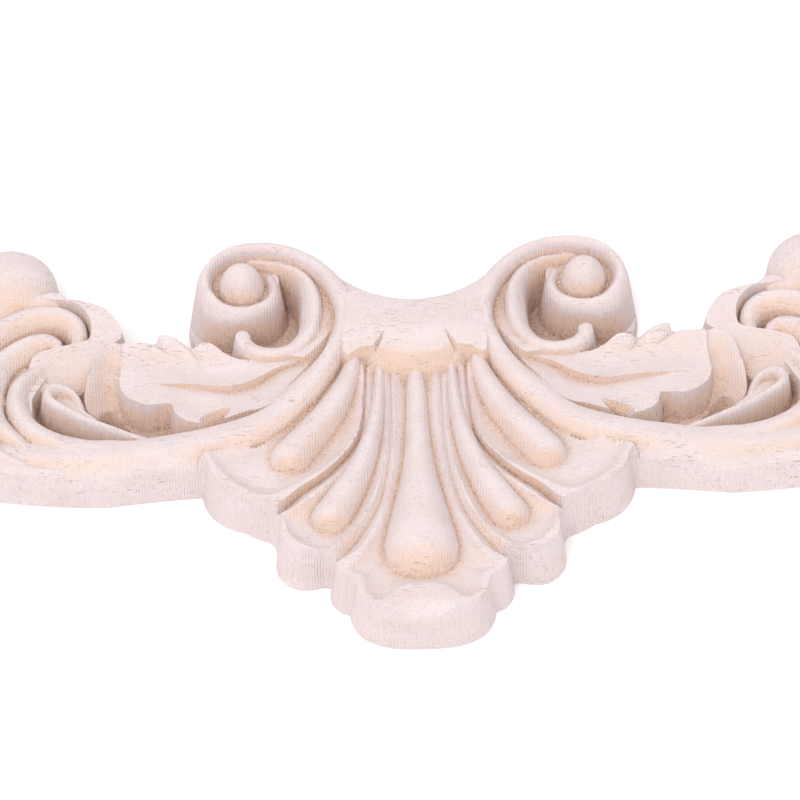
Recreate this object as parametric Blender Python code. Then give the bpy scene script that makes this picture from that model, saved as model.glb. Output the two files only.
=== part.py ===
# Carved wooden onlay: a shell between two volutes, with a leafy scroll arm on each side.
# It lies on its flat back. +X runs along its length, +Y towards the volutes, and +Z out of the
# carved face. It is one piece of wood cut as a relief, so its face is a height over the plan.
# Only the right half is described, and a Mirror modifier makes the left one.
#
# Plan sizes are millimetres from the middle of the shell. MM turns them into metres at the end.

import math

import bmesh
import bpy
import numpy as np
from mathutils import Vector
from mathutils.geometry import delaunay_2d_cdt

MM = 0.001

# Driving heights above the back
SHELL_TOP = 9.0
COLLAR_TOP = 13.6
SCROLL_TOP = 12.7
BALL_TOP = 14.5
ARM_TOP = 8.4
BUD_TOP = 12.2
TAIL_TOP = 6.8
PIT_FLOOR = 2.2

# Rise of the walls for each millimetre inwards
SHELL_WALL = 7.5
VOLUTE_WALL = 6.5
ARM_WALL = 8.0
INNER_WALL = 6.0

# Fineness of the mesh
OUTLINE_STEP = 1.0
GUIDE_STEP = 1.2
GRID = 0.6
MOST_TRIANGLES = 9700
BACK_REACH = 0.05
MERGE = 0.00001
SHARP_ANGLE = math.radians(38)

WOOD_COLOUR = (0.80, 0.66, 0.55, 1.0)
WOOD_ROUGHNESS = 0.62


# Curves

def smooth_curve(stations, step):
    """Catmull-Rom curve through the stations, sampled about every step along the plan."""
    rows = np.array(stations, float)
    padded = np.vstack([2 * rows[0] - rows[1], rows, 2 * rows[-1] - rows[-2]])
    made = []
    for a, b, c, d in zip(padded, padded[1:], padded[2:], padded[3:]):
        count = max(1, math.ceil(math.dist(b[:2], c[:2]) / step))
        for t in np.arange(count) / count:
            made.append(0.5 * (2 * b + (c - a) * t + (2 * a - 5 * b + 4 * c - d) * t ** 2
                               + (3 * b - a - 3 * c + d) * t ** 3))
    made.append(rows[-1])
    return np.array(made)


def arc_run(corners, step):
    """Line through corners x, y, bulge. The bulge is the rise of the arc to the next corner over
    half its chord, positive when it bows to the left of the way."""
    made = []
    for (x0, y0, bulge), (x1, y1, _) in zip(corners, corners[1:]):
        start = np.array([x0, y0])
        chord = np.array([x1, y1]) - start
        normal = np.array([-chord[1], chord[0]])
        count = max(1, math.ceil(np.hypot(*chord) * (1 + abs(bulge)) / step))
        for t in np.arange(count) / count:
            if bulge == 0:
                made.append(start + chord * t)
                continue
            half_turn = 2 * math.atan(bulge)
            radius = 0.5 / math.sin(half_turn)
            angle = half_turn * (2 * t - 1)
            rise = radius * (math.cos(angle) - math.cos(half_turn))
            made.append(start + chord * (0.5 + radius * math.sin(angle)) + normal * rise)
    made.append(np.array(corners[-1][:2]))
    return np.array(made)


def rounded(corners, step):
    """Closed smooth curve through the corners."""
    rows = np.array(corners, float)
    looped = np.vstack([rows[-1:], rows, rows[:2]])
    made = []
    for a, b, c, d in zip(looped, looped[1:], looped[2:], looped[3:]):
        count = max(1, math.ceil(math.dist(b, c) / step))
        for t in np.arange(count) / count:
            made.append(0.5 * (2 * b + (c - a) * t + (2 * a - 5 * b + 4 * c - d) * t ** 2
                               + (3 * b - a - 3 * c + d) * t ** 3))
    return np.array(made)


# Distances

def nearest_on_line(points, line):
    """For each point its distance to the line, +1 or -1 for the line's left or right side, and
    the values of the line's further columns there."""
    best = np.full(len(points), np.inf)
    side = np.ones(len(points))
    values = np.zeros((len(points), line.shape[1] - 2))
    for start, end in zip(line, line[1:]):
        run = end[:2] - start[:2]
        offset = points - start[:2]
        share = np.clip(offset @ run / max(run @ run, 1e-12), 0, 1)
        distance = ((offset - share[:, None] * run) ** 2).sum(1)
        closer = distance < best
        best[closer] = distance[closer]
        cross = run[0] * offset[closer, 1] - run[1] * offset[closer, 0]
        side[closer] = np.where(cross >= 0, 1, -1)
        values[closer] = start[2:] + share[closer, None] * (end[2:] - start[2:])
    return np.sqrt(best), side, values


def is_inside(points, ring):
    """Whether each point lies in the closed polygon ring."""
    inside = np.zeros(len(points), bool)
    x, y = points[:, 0], points[:, 1]
    for (x0, y0), (x1, y1) in zip(ring[:, :2], np.roll(ring[:, :2], -1, axis=0)):
        if y0 != y1:
            inside ^= ((y0 > y) != (y1 > y)) & (x < x0 + (y - y0) * (x1 - x0) / (y1 - y0))
    return inside


def inside_distance(points, ring):
    """Distance to the closed polygon's edge, positive inside, and the edge's further values."""
    distance, _, values = nearest_on_line(points, np.vstack([ring, ring[:1]]))
    return np.where(is_inside(points, ring), distance, -distance), values


# Carved forms. Each returns the plan box that it can touch, its height there, and guide lines
# for the mesh.

def around(line, margin):
    return line[:, :2].min(0) - margin, line[:, :2].max(0) + margin


def ridge(stations, power=2.0, slope=INNER_WALL):
    """Ridge along a curve. A station is x, y, width to the left and to the right, height of the
    crest, and height of the left and the right edge."""
    line = smooth_curve(stations, 0.8)

    def height(points):
        distance, side, v = nearest_on_line(points, line)
        width = np.where(side > 0, v[:, 0], v[:, 1])
        edge = np.where(side > 0, v[:, 3], v[:, 4])
        share = np.minimum(distance / np.maximum(width, 0.05), 1)
        return v[:, 2] - (v[:, 2] - edge) * share ** power - np.maximum(distance - width, 0) * slope

    crest = smooth_curve(stations, GUIDE_STEP)
    way = np.gradient(crest[:, :2], axis=0)
    way /= np.hypot(way[:, 0], way[:, 1])[:, None]
    left = np.stack([-way[:, 1], way[:, 0]], 1)
    turn = np.radians([60.0, 20.0, -20.0, -60.0])[:, None]
    cap = crest[-1, :2] + (np.sin(turn) * left[-1] + np.cos(turn) * way[-1]) * crest[-1, 2]
    sides = np.vstack([crest[:, :2] + left * crest[:, 2:3], cap,
                       (crest[:, :2] - left * crest[:, 3:4])[::-1]])
    guides = [crest[:, :2], sides]
    return (*around(line, line[:, 2:4].max() + 2.5), height, guides)


def plate(ring, top, slope=INNER_WALL):
    """Flat or tilted plate: top is a height, or a function of the points."""
    def height(points):
        inner, _ = inside_distance(points, ring)
        level = top(points) if callable(top) else top
        return level + np.minimum(inner, 0) * slope

    return (*around(ring, 8.0 / slope + 0.6), height, [np.vstack([ring, ring[:1]])])


def sheet(heights):
    """Smooth level through heights given as x, y, z: a thin plate bent through them."""
    knots = np.array(heights, float)

    def bend(points):
        square = ((points[:, None, :2] - knots[None, :, :2]) ** 2).sum(2) + 1e-9
        plane = np.column_stack([np.ones(len(points)), points[:, :2]])
        return square * np.log(square), plane

    inner, plane = bend(knots)
    system = np.block([[inner, plane], [plane.T, np.zeros((3, 3))]])
    weights = np.linalg.solve(system, np.concatenate([knots[:, 2], np.zeros(3)]))
    return lambda points: np.hstack(bend(points)) @ weights


def hollow(ring, edge, depth, reach):
    """Round hollow inside a closed curve: it starts at the height edge and is depth lower from
    reach inwards."""
    def height(points):
        inner, _ = inside_distance(points, ring)
        share = np.clip(inner / reach, 0, 1)
        level = edge(points) if callable(edge) else edge
        return level - depth * (1 - (1 - share) ** 2) + np.maximum(-inner, 0) * 8

    return (*around(ring, 0.5), height, [np.vstack([ring, ring[:1]])])


def groove(stations):
    """Groove along a curve. A station is x, y, the height of its bottom, and how steeply it rises
    to the left and to the right."""
    line = smooth_curve(stations, 0.8)

    def height(points):
        distance, side, v = nearest_on_line(points, line)
        return v[:, 0] + distance * np.where(side > 0, v[:, 1], v[:, 2])

    return (*around(line, 3.0), height, [smooth_curve(stations, GUIDE_STEP)[:, :2]])


def brow(stations, level, fall):
    """Rounds the face off to the right of a curve: it falls with the square of the distance."""
    line = smooth_curve(stations, 0.8)

    def height(points):
        distance, side, _ = nearest_on_line(points, line)
        return np.where(side > 0, 99.0, level - fall * distance ** 2)

    return (*around(line, 9.0), height, [smooth_curve(stations, GUIDE_STEP)[:, :2]])


def dome(centre, radius, foot, top):
    """Round boss standing on the height foot."""
    def height(points):
        share = np.hypot(points[:, 0] - centre[0], points[:, 1] - centre[1]) / radius
        lift = (top - foot) * np.sqrt(np.clip(1 - share ** 2, 0, 1))
        return foot + lift - np.maximum(share - 1, 0) * radius * INNER_WALL

    turn = np.linspace(0, 2 * math.pi, 17)
    circle = np.stack([np.cos(turn), np.sin(turn)], 1)
    guides = [np.array(centre) + circle * radius * share for share in (0.995, 0.84, 0.5, 0.1)]
    return (*around(guides[0], 2.0), height, guides)


# Outline at the back, from the tip of the shell round the arm and back to the axis. Each run has
# its wall's steepness.

OUTLINE_RUNS = [
    (SHELL_WALL, [
        (0.0, -45.3, -0.03), (4.5, -45.1, -0.1), (9.2, -43.2, -0.2), (11.6, -38.2, 0.3),
        (12.6, -37.6, -0.35), (14.5, -32.3, 0.25), (15.8, -31.9, -0.1), (19.6, -32.3, -0.36),
        (23.4, -26.2, 0.1), (23.4, -23.2, 0.18), (24.6, -21.8, -0.1), (28.0, -19.9, 0.12),
        (29.2, -19.4, -0.3), (35.4, -11.6, 0.0)]),
    (ARM_WALL, [
        (35.4, -11.6, 0.02), (51.0, -13.3, -0.04), (69.0, -11.4, -0.06), (88.0, -5.6, -0.08),
        (103.0, 4.0, -0.08), (110.4, 15.8, -0.5), (108.6, 17.2, -0.1), (104.4, 13.6, -0.6),
        (96.6, 13.0, -0.65), (88.4, 14.2, -0.6), (81.4, 19.4, 0.1)]),
    (ARM_WALL, [
        (81.4, 19.4, 0.1), (77.6, 27.6, -0.35), (69.0, 39.2, -0.42), (59.2, 31.0, 0.14),
        (57.6, 27.0, -0.12), (48.6, 22.6, -0.16), (47.8, 17.8, 0.03), (43.9, 17.4, 0.1),
        (42.6, 19.0, -0.25), (38.2, 18.6, 0.0)]),
    (VOLUTE_WALL, [
        (38.2, 18.6, 0.0), (36.8, 20.6, -0.1), (38.1, 26.0, -0.2), (34.6, 34.8, -0.2),
        (27.6, 37.6, -0.14), (18.0, 36.0, -0.04), (11.6, 30.0, 0.08), (6.8, 25.0, 0.12),
        (0.0, 22.7, 0.0)])
]
PIERCING = [
    (44.8, -1.8), (47.2, -1.6), (49.8, -0.8), (51.9, 0.8), (52.5, 3.0), (52.0, 4.8), (50.9, 5.3),
    (49.8, 4.2), (48.4, 2.4), (46.2, 0.2)]


def outline(step):
    """The outline with its wall steepness as the third column, and where it meets the axis."""
    rows = []
    for slope, corners in OUTLINE_RUNS:
        run = arc_run(corners, step)[:-1]
        rows.append(np.column_stack([run, np.full(len(run), slope)]))
    rows.append(np.array([[0.0, OUTLINE_RUNS[-1][1][-1][1], VOLUTE_WALL]]))
    return np.vstack(rows)


# Shell: three petals and a small lobe, with grooves between them and a drop in each

def shell_level(points):
    """The shell's land rises a little from its rim towards the collar."""
    return SHELL_TOP + np.clip((points[:, 1] + 20) * 0.02, -0.4, 0.6)


SHELL_LAND = [
    (-3.0, 14.0), (12.0, 14.0), (24.0, -6.0), (30.0, -8.0), (33.6, -9.4), (36.0, -13.0), (36.0, -30.0),
    (20.0, -36.0), (16.0, -47.0), (-3.0, -47.0)]
PETAL_OUTER = [
    (9.6, 10.0), (12.6, 10.0), (15.4, 5.6), (19.6, 0.2), (24.4, -4.0), (30.0, -6.6), (34.0, -9.4),
    (32.0, -14.0), (28.6, -17.6), (24.4, -19.4), (20.2, -17.4), (14.6, -13.0), (11.0, -8.6),
    (8.8, -2.0)]
PETAL_MIDDLE = [
    (6.4, 8.4), (7.8, 7.6), (8.4, -2.0), (10.6, -11.0), (14.2, -16.4), (18.0, -20.8), (21.6, -23.6),
    (21.4, -27.0), (19.2, -30.0), (15.2, -31.2), (12.8, -29.6), (9.8, -25.8), (7.2, -19.0),
    (5.3, -11.0), (4.5, -2.0), (5.0, 7.6)]
PETAL_CENTRE = [
    (3.0, 8.0), (3.6, -2.0), (4.0, -10.0), (5.0, -18.6), (6.9, -26.6), (9.6, -32.4), (11.8, -35.4),
    (9.6, -37.0), (9.0, -40.4), (6.6, -42.0), (3.6, -39.4), (0.0, -38.8), (-3.6, -39.4),
    (-4.0, -20.0), (-3.0, 8.0)]
PETAL_GROOVES = [
    [(8.3, 9.4, 8.9, 2.0, 1.0), (8.4, 4.0, 8.6, 3.0, 1.0), (8.9, -3.0, 8.2, 4.0, 0.9),
     (10.0, -7.8, 7.9, 5.0, 0.9), (12.9, -12.3, 7.6, 6.0, 0.9), (16.0, -15.6, 7.4, 6.0, 0.9),
     (19.2, -18.2, 7.2, 6.0, 0.9), (22.0, -21.2, 6.8, 5.0, 1.2), (25.4, -23.4, 6.2, 5.0, 2.0)],
    [(4.2, 8.4, 8.9, 1.0, 1.0), (4.2, 0.0, 8.6, 1.0, 1.0), (4.6, -10.0, 8.4, 1.0, 1.0),
     (6.2, -20.0, 8.0, 1.2, 0.9), (9.0, -26.6, 7.6, 1.3, 0.9), (12.0, -30.8, 7.0, 1.4, 1.0),
     (16.0, -34.4, 6.4, 2.0, 2.0)]]
LIP = [(-4.0, -40.0), (0.0, -39.4), (4.0, -40.0), (6.8, -42.0), (8.6, -44.4)]
DROP_OUTER = [
    (9.6, 11.0, 1.6, 0.9, 10.6, 9.6, 9.4), (10.8, 6.0, 2.2, 1.4, 10.5, 9.2, 8.8),
    (13.0, 0.6, 2.8, 2.0, 10.7, 8.9, 8.3), (15.8, -4.2, 3.2, 2.6, 10.9, 8.7, 7.8),
    (18.6, -8.0, 3.5, 3.2, 11.0, 8.4, 7.4), (20.6, -10.4, 3.6, 3.6, 10.9, 8.0, 7.3)]
DROP_MIDDLE = [
    (5.9, 9.0, 0.7, 0.7, 10.0, 9.2, 9.2), (6.2, 2.0, 1.0, 1.0, 10.0, 9.0, 8.8),
    (7.0, -4.5, 1.5, 1.5, 10.2, 8.7, 8.3), (8.4, -10.4, 2.0, 2.1, 10.5, 8.4, 7.9),
    (10.4, -15.8, 2.6, 2.8, 10.7, 8.1, 7.6), (12.6, -20.4, 3.1, 3.3, 10.8, 7.9, 7.4),
    (14.2, -23.4, 3.4, 3.5, 10.7, 7.7, 7.2)]
DROP_CENTRE = [
    (0.0, 9.0, 1.2, 1.2, 9.9, 9.0, 9.0), (0.0, 0.0, 1.5, 1.5, 9.9, 8.9, 8.9),
    (0.0, -8.0, 2.0, 2.0, 10.2, 8.6, 8.6), (0.0, -15.0, 3.0, 3.0, 10.8, 8.2, 8.2),
    (0.0, -22.0, 4.6, 4.6, 11.5, 7.8, 7.8), (0.0, -27.4, 5.8, 5.8, 12.0, 7.6, 7.6),
    (0.0, -30.4, 6.2, 6.2, 11.9, 7.5, 7.5)]

# Collar above the shell, and the notches at its front corners
COLLAR = [
    (-3.0, 10.2), (4.0, 10.2), (7.6, 10.5), (9.4, 10.4), (11.8, 10.0), (11.9, 20.0), (12.6, 25.0),
    (15.4, 30.4), (14.0, 35.0), (7.6, 30.0), (-3.0, 27.0)]
TONGUE = [(-3.0, 8.8), (1.1, 8.8), (4.0, 9.4), (5.9, 10.6), (6.0, 12.0), (4.0, 14.0), (-3.0, 14.0)]
COLLAR_NOTCH = [
    (7.2, 8.2, 9.8, 1.6, 2.4), (6.8, 9.6, 10.8, 1.8, 2.4), (5.9, 11.4, 12.0, 2.0, 2.0),
    (4.9, 13.4, 13.2, 2.0, 2.0)]


# Scroll: from inside the volute round it, down the stem and out along the arm
SCROLL = [
    (24.0, 30.4, 0.8, 0.8, 9.6, 9.0, 8.6), (23.3, 27.0, 0.9, 1.0, 10.0, 9.3, 8.8),
    (24.6, 23.8, 1.0, 1.2, 10.2, 9.4, 8.8), (28.3, 22.0, 1.1, 1.4, 10.4, 9.4, 8.8),
    (32.2, 23.0, 1.1, 2.0, 10.6, 9.5, 8.4), (34.6, 26.6, 1.0, 2.0, 11.0, 9.8, 8.6),
    (34.6, 30.6, 1.0, 2.0, 11.5, 10.2, 9.2), (32.0, 34.0, 1.1, 1.8, 12.0, 10.8, 10.2),
    (27.8, 35.2, 1.2, 1.3, 12.4, 11.4, 11.2), (22.8, 34.6, 1.1, 1.3, 12.6, 11.6, 11.6),
    (18.0, 32.0, 1.0, 1.3, SCROLL_TOP, 11.8, 11.8), (14.6, 28.0, 1.0, 1.4, 12.8, 11.9, 12.0),
    (12.6, 23.5, 1.0, 1.6, 12.8, 11.9, 12.2), (11.9, 19.0, 1.0, 1.2, SCROLL_TOP, 11.8, 11.9),
    (12.6, 13.5, 1.3, 1.4, 12.2, 11.4, 11.0), (14.6, 8.5, 1.6, 1.6, 11.7, 11.0, 10.4),
    (17.4, 4.0, 1.9, 1.9, 11.0, 10.4, 9.8), (20.8, 0.2, 2.1, 2.2, 10.4, 9.8, 9.2),
    (25.0, -3.2, 2.4, 2.8, 9.9, 9.2, 8.6), (30.0, -5.4, 2.8, 3.0, 9.4, 8.7, 7.8),
    (35.0, -6.9, 3.1, 4.0, 9.0, 8.3, 5.0), (40.0, -7.9, 3.2, 4.2, 8.8, 8.1, 4.4),
    (46.0, -8.6, 2.9, 4.0, 8.6, 8.0, 4.4), (52.0, -8.7, 3.2, 4.0, ARM_TOP, 8.0, 4.4),
    (59.0, -8.3, 2.8, 3.8, 8.0, 7.6, 4.4), (66.0, -6.9, 2.2, 3.4, 7.4, 7.0, 4.6),
    (72.0, -5.0, 1.6, 2.0, 6.4, 6.2, 4.8)]
SCROLL_BED = [
    (12.6, 20.0), (12.6, 26.0), (15.4, 31.6), (20.0, 34.6), (28.0, 35.4), (28.0, 33.2), (21.0, 31.4),
    (17.6, 28.0), (16.8, 20.0), (19.0, 14.4), (22.0, 12.0), (17.6, 11.0), (14.4, 14.4)]
HOOK = [
    (27.0, 33.4, 0.8, 0.8, 10.2, 9.4, 9.8), (22.0, 32.2, 0.9, 0.9, 10.6, 9.4, 10.0),
    (18.8, 29.9, 1.3, 0.8, 10.9, 9.0, 10.2), (16.9, 26.6, 2.0, 0.8, 11.0, 8.8, 10.3),
    (16.2, 22.8, 2.6, 0.8, 11.0, 8.6, 10.3), (16.4, 18.8, 2.6, 0.8, 10.8, 8.6, 10.1),
    (17.7, 15.4, 2.3, 1.0, 10.5, 8.8, 9.9), (20.2, 12.9, 1.8, 1.1, 10.2, 9.0, 9.7),
    (23.4, 12.3, 1.2, 1.2, 10.0, 9.3, 9.5), (26.4, 13.0, 1.1, 1.2, 9.9, 9.4, 9.4),
    (28.2, 14.8, 1.1, 1.2, 9.9, 9.4, 9.4), (28.6, 16.4, 1.2, 1.2, 9.9, 9.4, 9.4)]
BALL_CENTRE = (28.8, 27.4)
STEM_GROOVE = [
    (13.9, 16.8, 9.4, 2.0, 2.0), (15.3, 13.4, 8.4, 1.6, 2.6), (17.4, 10.2, 7.9, 1.6, 2.6),
    (19.8, 7.3, 7.7, 1.6, 2.6), (22.1, 4.8, 7.8, 1.6, 2.6), (24.0, 3.2, 8.0, 1.8, 2.6),
    (26.2, 1.6, 8.6, 2.0, 2.6)]
VOLUTE_DRUM = [
    (23.4, 33.0), (22.6, 29.0), (22.7, 25.4), (24.9, 22.5), (28.5, 21.4), (32.8, 22.8), (35.6, 26.6),
    (34.0, 33.0), (28.6, 35.4)]

# Leaf between the volute and the arm, in an upper and a lower lobe
LEAF_UPPER = [
    (14.0, 16.0), (18.0, 11.6), (23.0, 9.6), (26.4, 7.4), (30.4, 5.9), (34.6, 6.4), (38.8, 7.2),
    (44.6, 7.8), (48.2, 7.4), (48.9, 9.4), (48.6, 12.9), (48.6, 15.6), (46.4, 15.7), (44.6, 15.9),
    (43.5, 15.8), (42.6, 17.0), (40.6, 16.9), (39.2, 16.4), (37.6, 15.5), (36.2, 15.2), (35.0, 15.5),
    (33.6, 15.0), (32.2, 13.8), (30.8, 12.9), (28.0, 12.0), (22.0, 13.0), (18.0, 17.0)]
LEAF_UPPER_HEIGHTS = [
    (16.0, 14.0, 9.0), (23.2, 9.9, 8.5), (26.4, 7.5, 8.4), (30.4, 6.0, 8.3), (34.6, 6.5, 8.1),
    (38.8, 7.3, 7.8), (44.6, 7.9, 7.4), (48.6, 9.0, 7.6), (48.4, 13.0, 8.4), (28.0, 10.0, 7.9),
    (32.0, 9.4, 7.3), (36.0, 10.2, 7.0), (40.0, 11.0, 6.9), (44.5, 11.0, 7.2), (30.8, 12.9, 8.3),
    (33.4, 15.0, 9.0), (36.2, 14.8, 8.3), (37.4, 15.4, 8.3), (41.0, 16.8, 9.3), (43.2, 15.6, 8.6),
    (46.8, 15.4, 8.9), (48.9, 15.6, 9.0), (40.4, 14.0, 7.6), (36.8, 12.8, 7.3)]
LEAF_FOLDS = [[(34.4, 11.0, 7.6, 1.2, 0.6), (36.2, 13.2, 7.3, 1.2, 0.6), (37.6, 16.0, 7.6, 1.2, 0.6)],
              [(38.6, 11.6, 7.4, 1.4, 0.6), (40.4, 13.8, 7.5, 1.4, 0.6), (43.4, 16.4, 8.0, 1.4, 0.6)]]
LEAF_LOWER = [
    (14.6, 15.0), (18.0, 8.0), (24.5, 1.4), (28.0, 0.2), (31.6, -1.4), (34.4, -2.3), (36.0, -2.0),
    (38.2, -1.1), (39.6, 0.2), (40.0, 1.6), (40.4, 2.7), (42.6, 2.6), (44.3, 2.4), (46.4, 3.4),
    (48.1, 5.0), (48.9, 7.0), (48.9, 9.4), (46.0, 11.0), (32.0, 9.0), (22.0, 11.0)]
LEAF_LOWER_HEIGHTS = [
    (18.0, 10.0, 8.4), (23.6, 7.6, 7.3), (26.4, 5.8, 7.0), (30.4, 4.9, 7.0), (34.6, 5.6, 7.0),
    (38.8, 6.4, 7.0), (44.6, 7.4, 7.3), (48.6, 8.6, 7.5), (24.5, 2.0, 8.0), (29.0, 0.8, 7.9),
    (32.0, -1.0, 8.1), (34.6, -2.0, 8.0), (38.0, -0.8, 7.8), (40.0, 1.6, 7.9), (42.6, 2.8, 7.8),
    (45.4, 3.2, 7.9), (48.1, 5.2, 7.7), (36.0, 2.2, 7.0)]
LEAF_POCKET = [(31.0, 1.2, 7.0, 1.4, 1.4), (32.6, 0.0, 5.2, 1.8, 1.8), (34.0, -1.2, 4.6, 1.8, 1.8)]
LEAF_END = [
    (47.2, 16.0), (48.5, 15.7), (50.2, 16.0), (51.8, 15.0), (53.0, 13.2), (53.8, 10.6), (54.6, 7.6),
    (54.6, 4.6), (52.6, 3.6), (50.3, 3.2), (48.2, 3.6), (47.8, 6.0), (47.8, 12.0)]
LEAF_END_HEIGHTS = [
    (48.6, 15.6, 8.6), (48.7, 12.9, 7.7), (49.0, 9.4, 6.4), (49.0, 6.4, 4.8), (48.6, 4.0, 3.0),
    (50.2, 15.8, 8.9), (51.8, 14.2, 8.9), (52.8, 11.4, 8.2), (53.6, 8.0, 6.8), (54.2, 5.2, 5.0),
    (50.4, 12.0, 6.8), (51.2, 8.6, 5.0), (51.4, 6.2, 3.4), (51.0, 4.4, 2.4)]
ARM_LAND = [
    (24.0, -2.0), (31.0, -1.7), (34.0, -3.1), (38.0, -4.3), (42.0, -5.3), (48.0, -6.0), (52.0, -5.6),
    (56.0, -4.6), (61.0, -2.3), (63.4, 1.9), (63.6, 6.0), (61.6, 10.4), (60.0, 25.0), (82.0, 30.0),
    (112.0, 24.0), (112.0, -14.0), (70.0, -14.0), (62.0, -9.4), (50.0, -9.6), (36.0, -9.0),
    (28.0, -6.0)]

# Arm: the scroll turns over in three folds round the opening, with a horn on its inner edge
VOLUTE_RING = [
    (46.0, -7.3, 1.4, 1.6, 8.4, 7.9, 7.6), (53.0, -7.0, 1.5, 1.8, 8.4, 8.0, 7.2),
    (59.0, -5.3, 1.6, 1.8, 8.5, 7.9, 7.2), (63.6, -2.0, 1.7, 1.6, 8.6, 7.8, 7.2),
    (66.0, 3.2, 1.9, 1.6, 8.5, 7.0, 7.0), (65.6, 8.6, 2.0, 1.6, 8.0, 5.6, 6.6),
    (62.6, 12.4, 2.0, 1.6, 7.2, 4.6, 6.2)]
FOLD_INNER = [
    (64.0, -6.2, 1.2, 1.0, 7.6, 7.0, 6.6), (69.6, -0.2, 2.2, 1.6, 8.8, 7.4, 7.4),
    (70.8, 6.8, 2.6, 1.6, 9.0, 7.2, 7.8), (69.0, 13.2, 2.8, 1.4, 9.0, 6.8, 8.0),
    (65.2, 17.0, 3.0, 1.2, 9.0, 6.6, 8.2), (61.8, 18.2, 2.4, 1.2, 8.7, 6.8, 8.0),
    (59.8, 17.4, 1.8, 1.0, 8.0, 6.8, 7.4), (59.4, 15.8, 1.2, 0.8, 7.2, 6.4, 6.6)]
FOLD_MIDDLE = [
    (64.0, -9.6, 0.8, 1.0, 7.2, 6.8, 6.6), (70.4, -6.2, 1.6, 1.6, 8.4, 7.4, 7.2),
    (74.4, 0.6, 2.2, 1.8, 9.0, 7.6, 7.6), (75.6, 8.0, 2.6, 1.8, 9.4, 7.6, 8.2),
    (73.6, 15.8, 2.8, 1.6, 9.5, 7.4, 8.4), (69.2, 20.8, 3.0, 1.4, 9.5, 7.4, 8.6),
    (63.8, 23.8, 3.0, 1.3, 9.5, 7.6, 8.6), (59.4, 23.8, 2.8, 1.2, 9.4, 7.6, 8.4),
    (56.6, 21.8, 2.2, 1.2, 8.9, 7.2, 8.0), (55.8, 19.2, 2.0, 1.0, 8.0, 6.8, 7.2),
    (56.4, 17.6, 1.2, 0.8, 7.2, 6.6, 6.6)]
FOLD_OUTER = [
    (58.0, -11.0, 0.8, 0.9, 6.6, 6.2, 5.6), (68.0, -9.2, 1.4, 1.2, 7.4, 7.0, 6.4),
    (76.0, -3.4, 2.0, 2.0, 8.2, 7.2, 6.6), (79.6, 5.0, 2.4, 2.0, 8.6, 7.4, 6.8),
    (79.0, 14.6, 2.6, 2.0, 8.9, 7.6, 7.2), (74.6, 21.6, 2.8, 1.8, 9.3, 7.8, 8.0),
    (67.4, 26.0, 2.8, 1.6, 9.6, 8.2, 8.6), (61.0, 26.8, 2.0, 1.4, 9.6, 8.6, 8.6)]
LOBE = [
    (52.8, 15.4), (50.6, 16.4), (48.8, 17.6), (49.4, 20.0), (51.2, 22.8), (53.8, 25.0), (57.0, 26.4),
    (61.0, 27.2), (62.4, 26.2), (58.4, 25.6), (56.7, 24.9), (54.9, 23.0), (54.0, 20.7), (54.3, 18.2),
    (56.4, 17.4), (60.0, 16.4), (63.4, 14.6), (64.2, 11.0), (62.6, 8.6), (59.6, 8.0), (56.6, 8.4),
    (55.2, 9.0), (54.2, 12.0)]
LOBE_HEIGHTS = [
    (49.4, 18.0, 8.8), (51.0, 21.6, 9.5), (54.0, 24.4, 9.8), (58.0, 26.2, 9.8), (62.0, 26.8, 9.8),
    (54.0, 20.7, 9.0), (54.8, 23.0, 9.5), (54.3, 17.8, 7.8), (56.0, 14.0, 6.4), (57.0, 10.6, 5.0),
    (55.4, 9.4, 4.6), (54.4, 12.2, 6.2), (52.8, 15.6, 7.8), (50.8, 16.8, 8.2), (58.0, 16.4, 7.4),
    (61.0, 14.4, 7.2), (63.4, 13.0, 7.2), (60.4, 11.0, 5.6), (63.4, 10.0, 6.2), (59.6, 8.4, 4.8)]
HORN_BED = [
    (50.0, -2.0), (54.0, -0.4), (57.6, 1.8), (60.4, 4.2), (60.2, 6.6), (58.4, 6.8), (55.8, 5.2),
    (54.6, 2.6)]
HORN = [
    (44.0, -5.4, 0.5, 0.5, 7.8, 7.4, 7.4), (47.4, -3.9, 0.6, 0.6, 8.0, 7.4, 7.2),
    (51.0, -2.1, 0.7, 0.6, 8.2, 7.2, 7.4), (54.6, -0.3, 0.8, 0.6, 8.3, 7.2, 7.6),
    (57.8, 1.9, 0.9, 0.7, 8.5, 7.2, 7.8), (60.2, 3.9, 0.9, 0.8, 8.6, 7.4, 7.8),
    (60.9, 5.8, 0.9, 0.8, 8.6, 7.6, 7.6), (59.8, 7.0, 0.8, 0.8, 8.5, 7.6, 7.4),
    (57.8, 6.8, 0.8, 0.7, 8.2, 7.2, 6.8), (56.2, 5.6, 0.8, 0.7, 7.6, 6.8, 6.0),
    (55.2, 3.4, 0.7, 0.7, 6.6, 6.0, 5.0)]
BUD_CENTRE = (68.4, 31.2)
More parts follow.
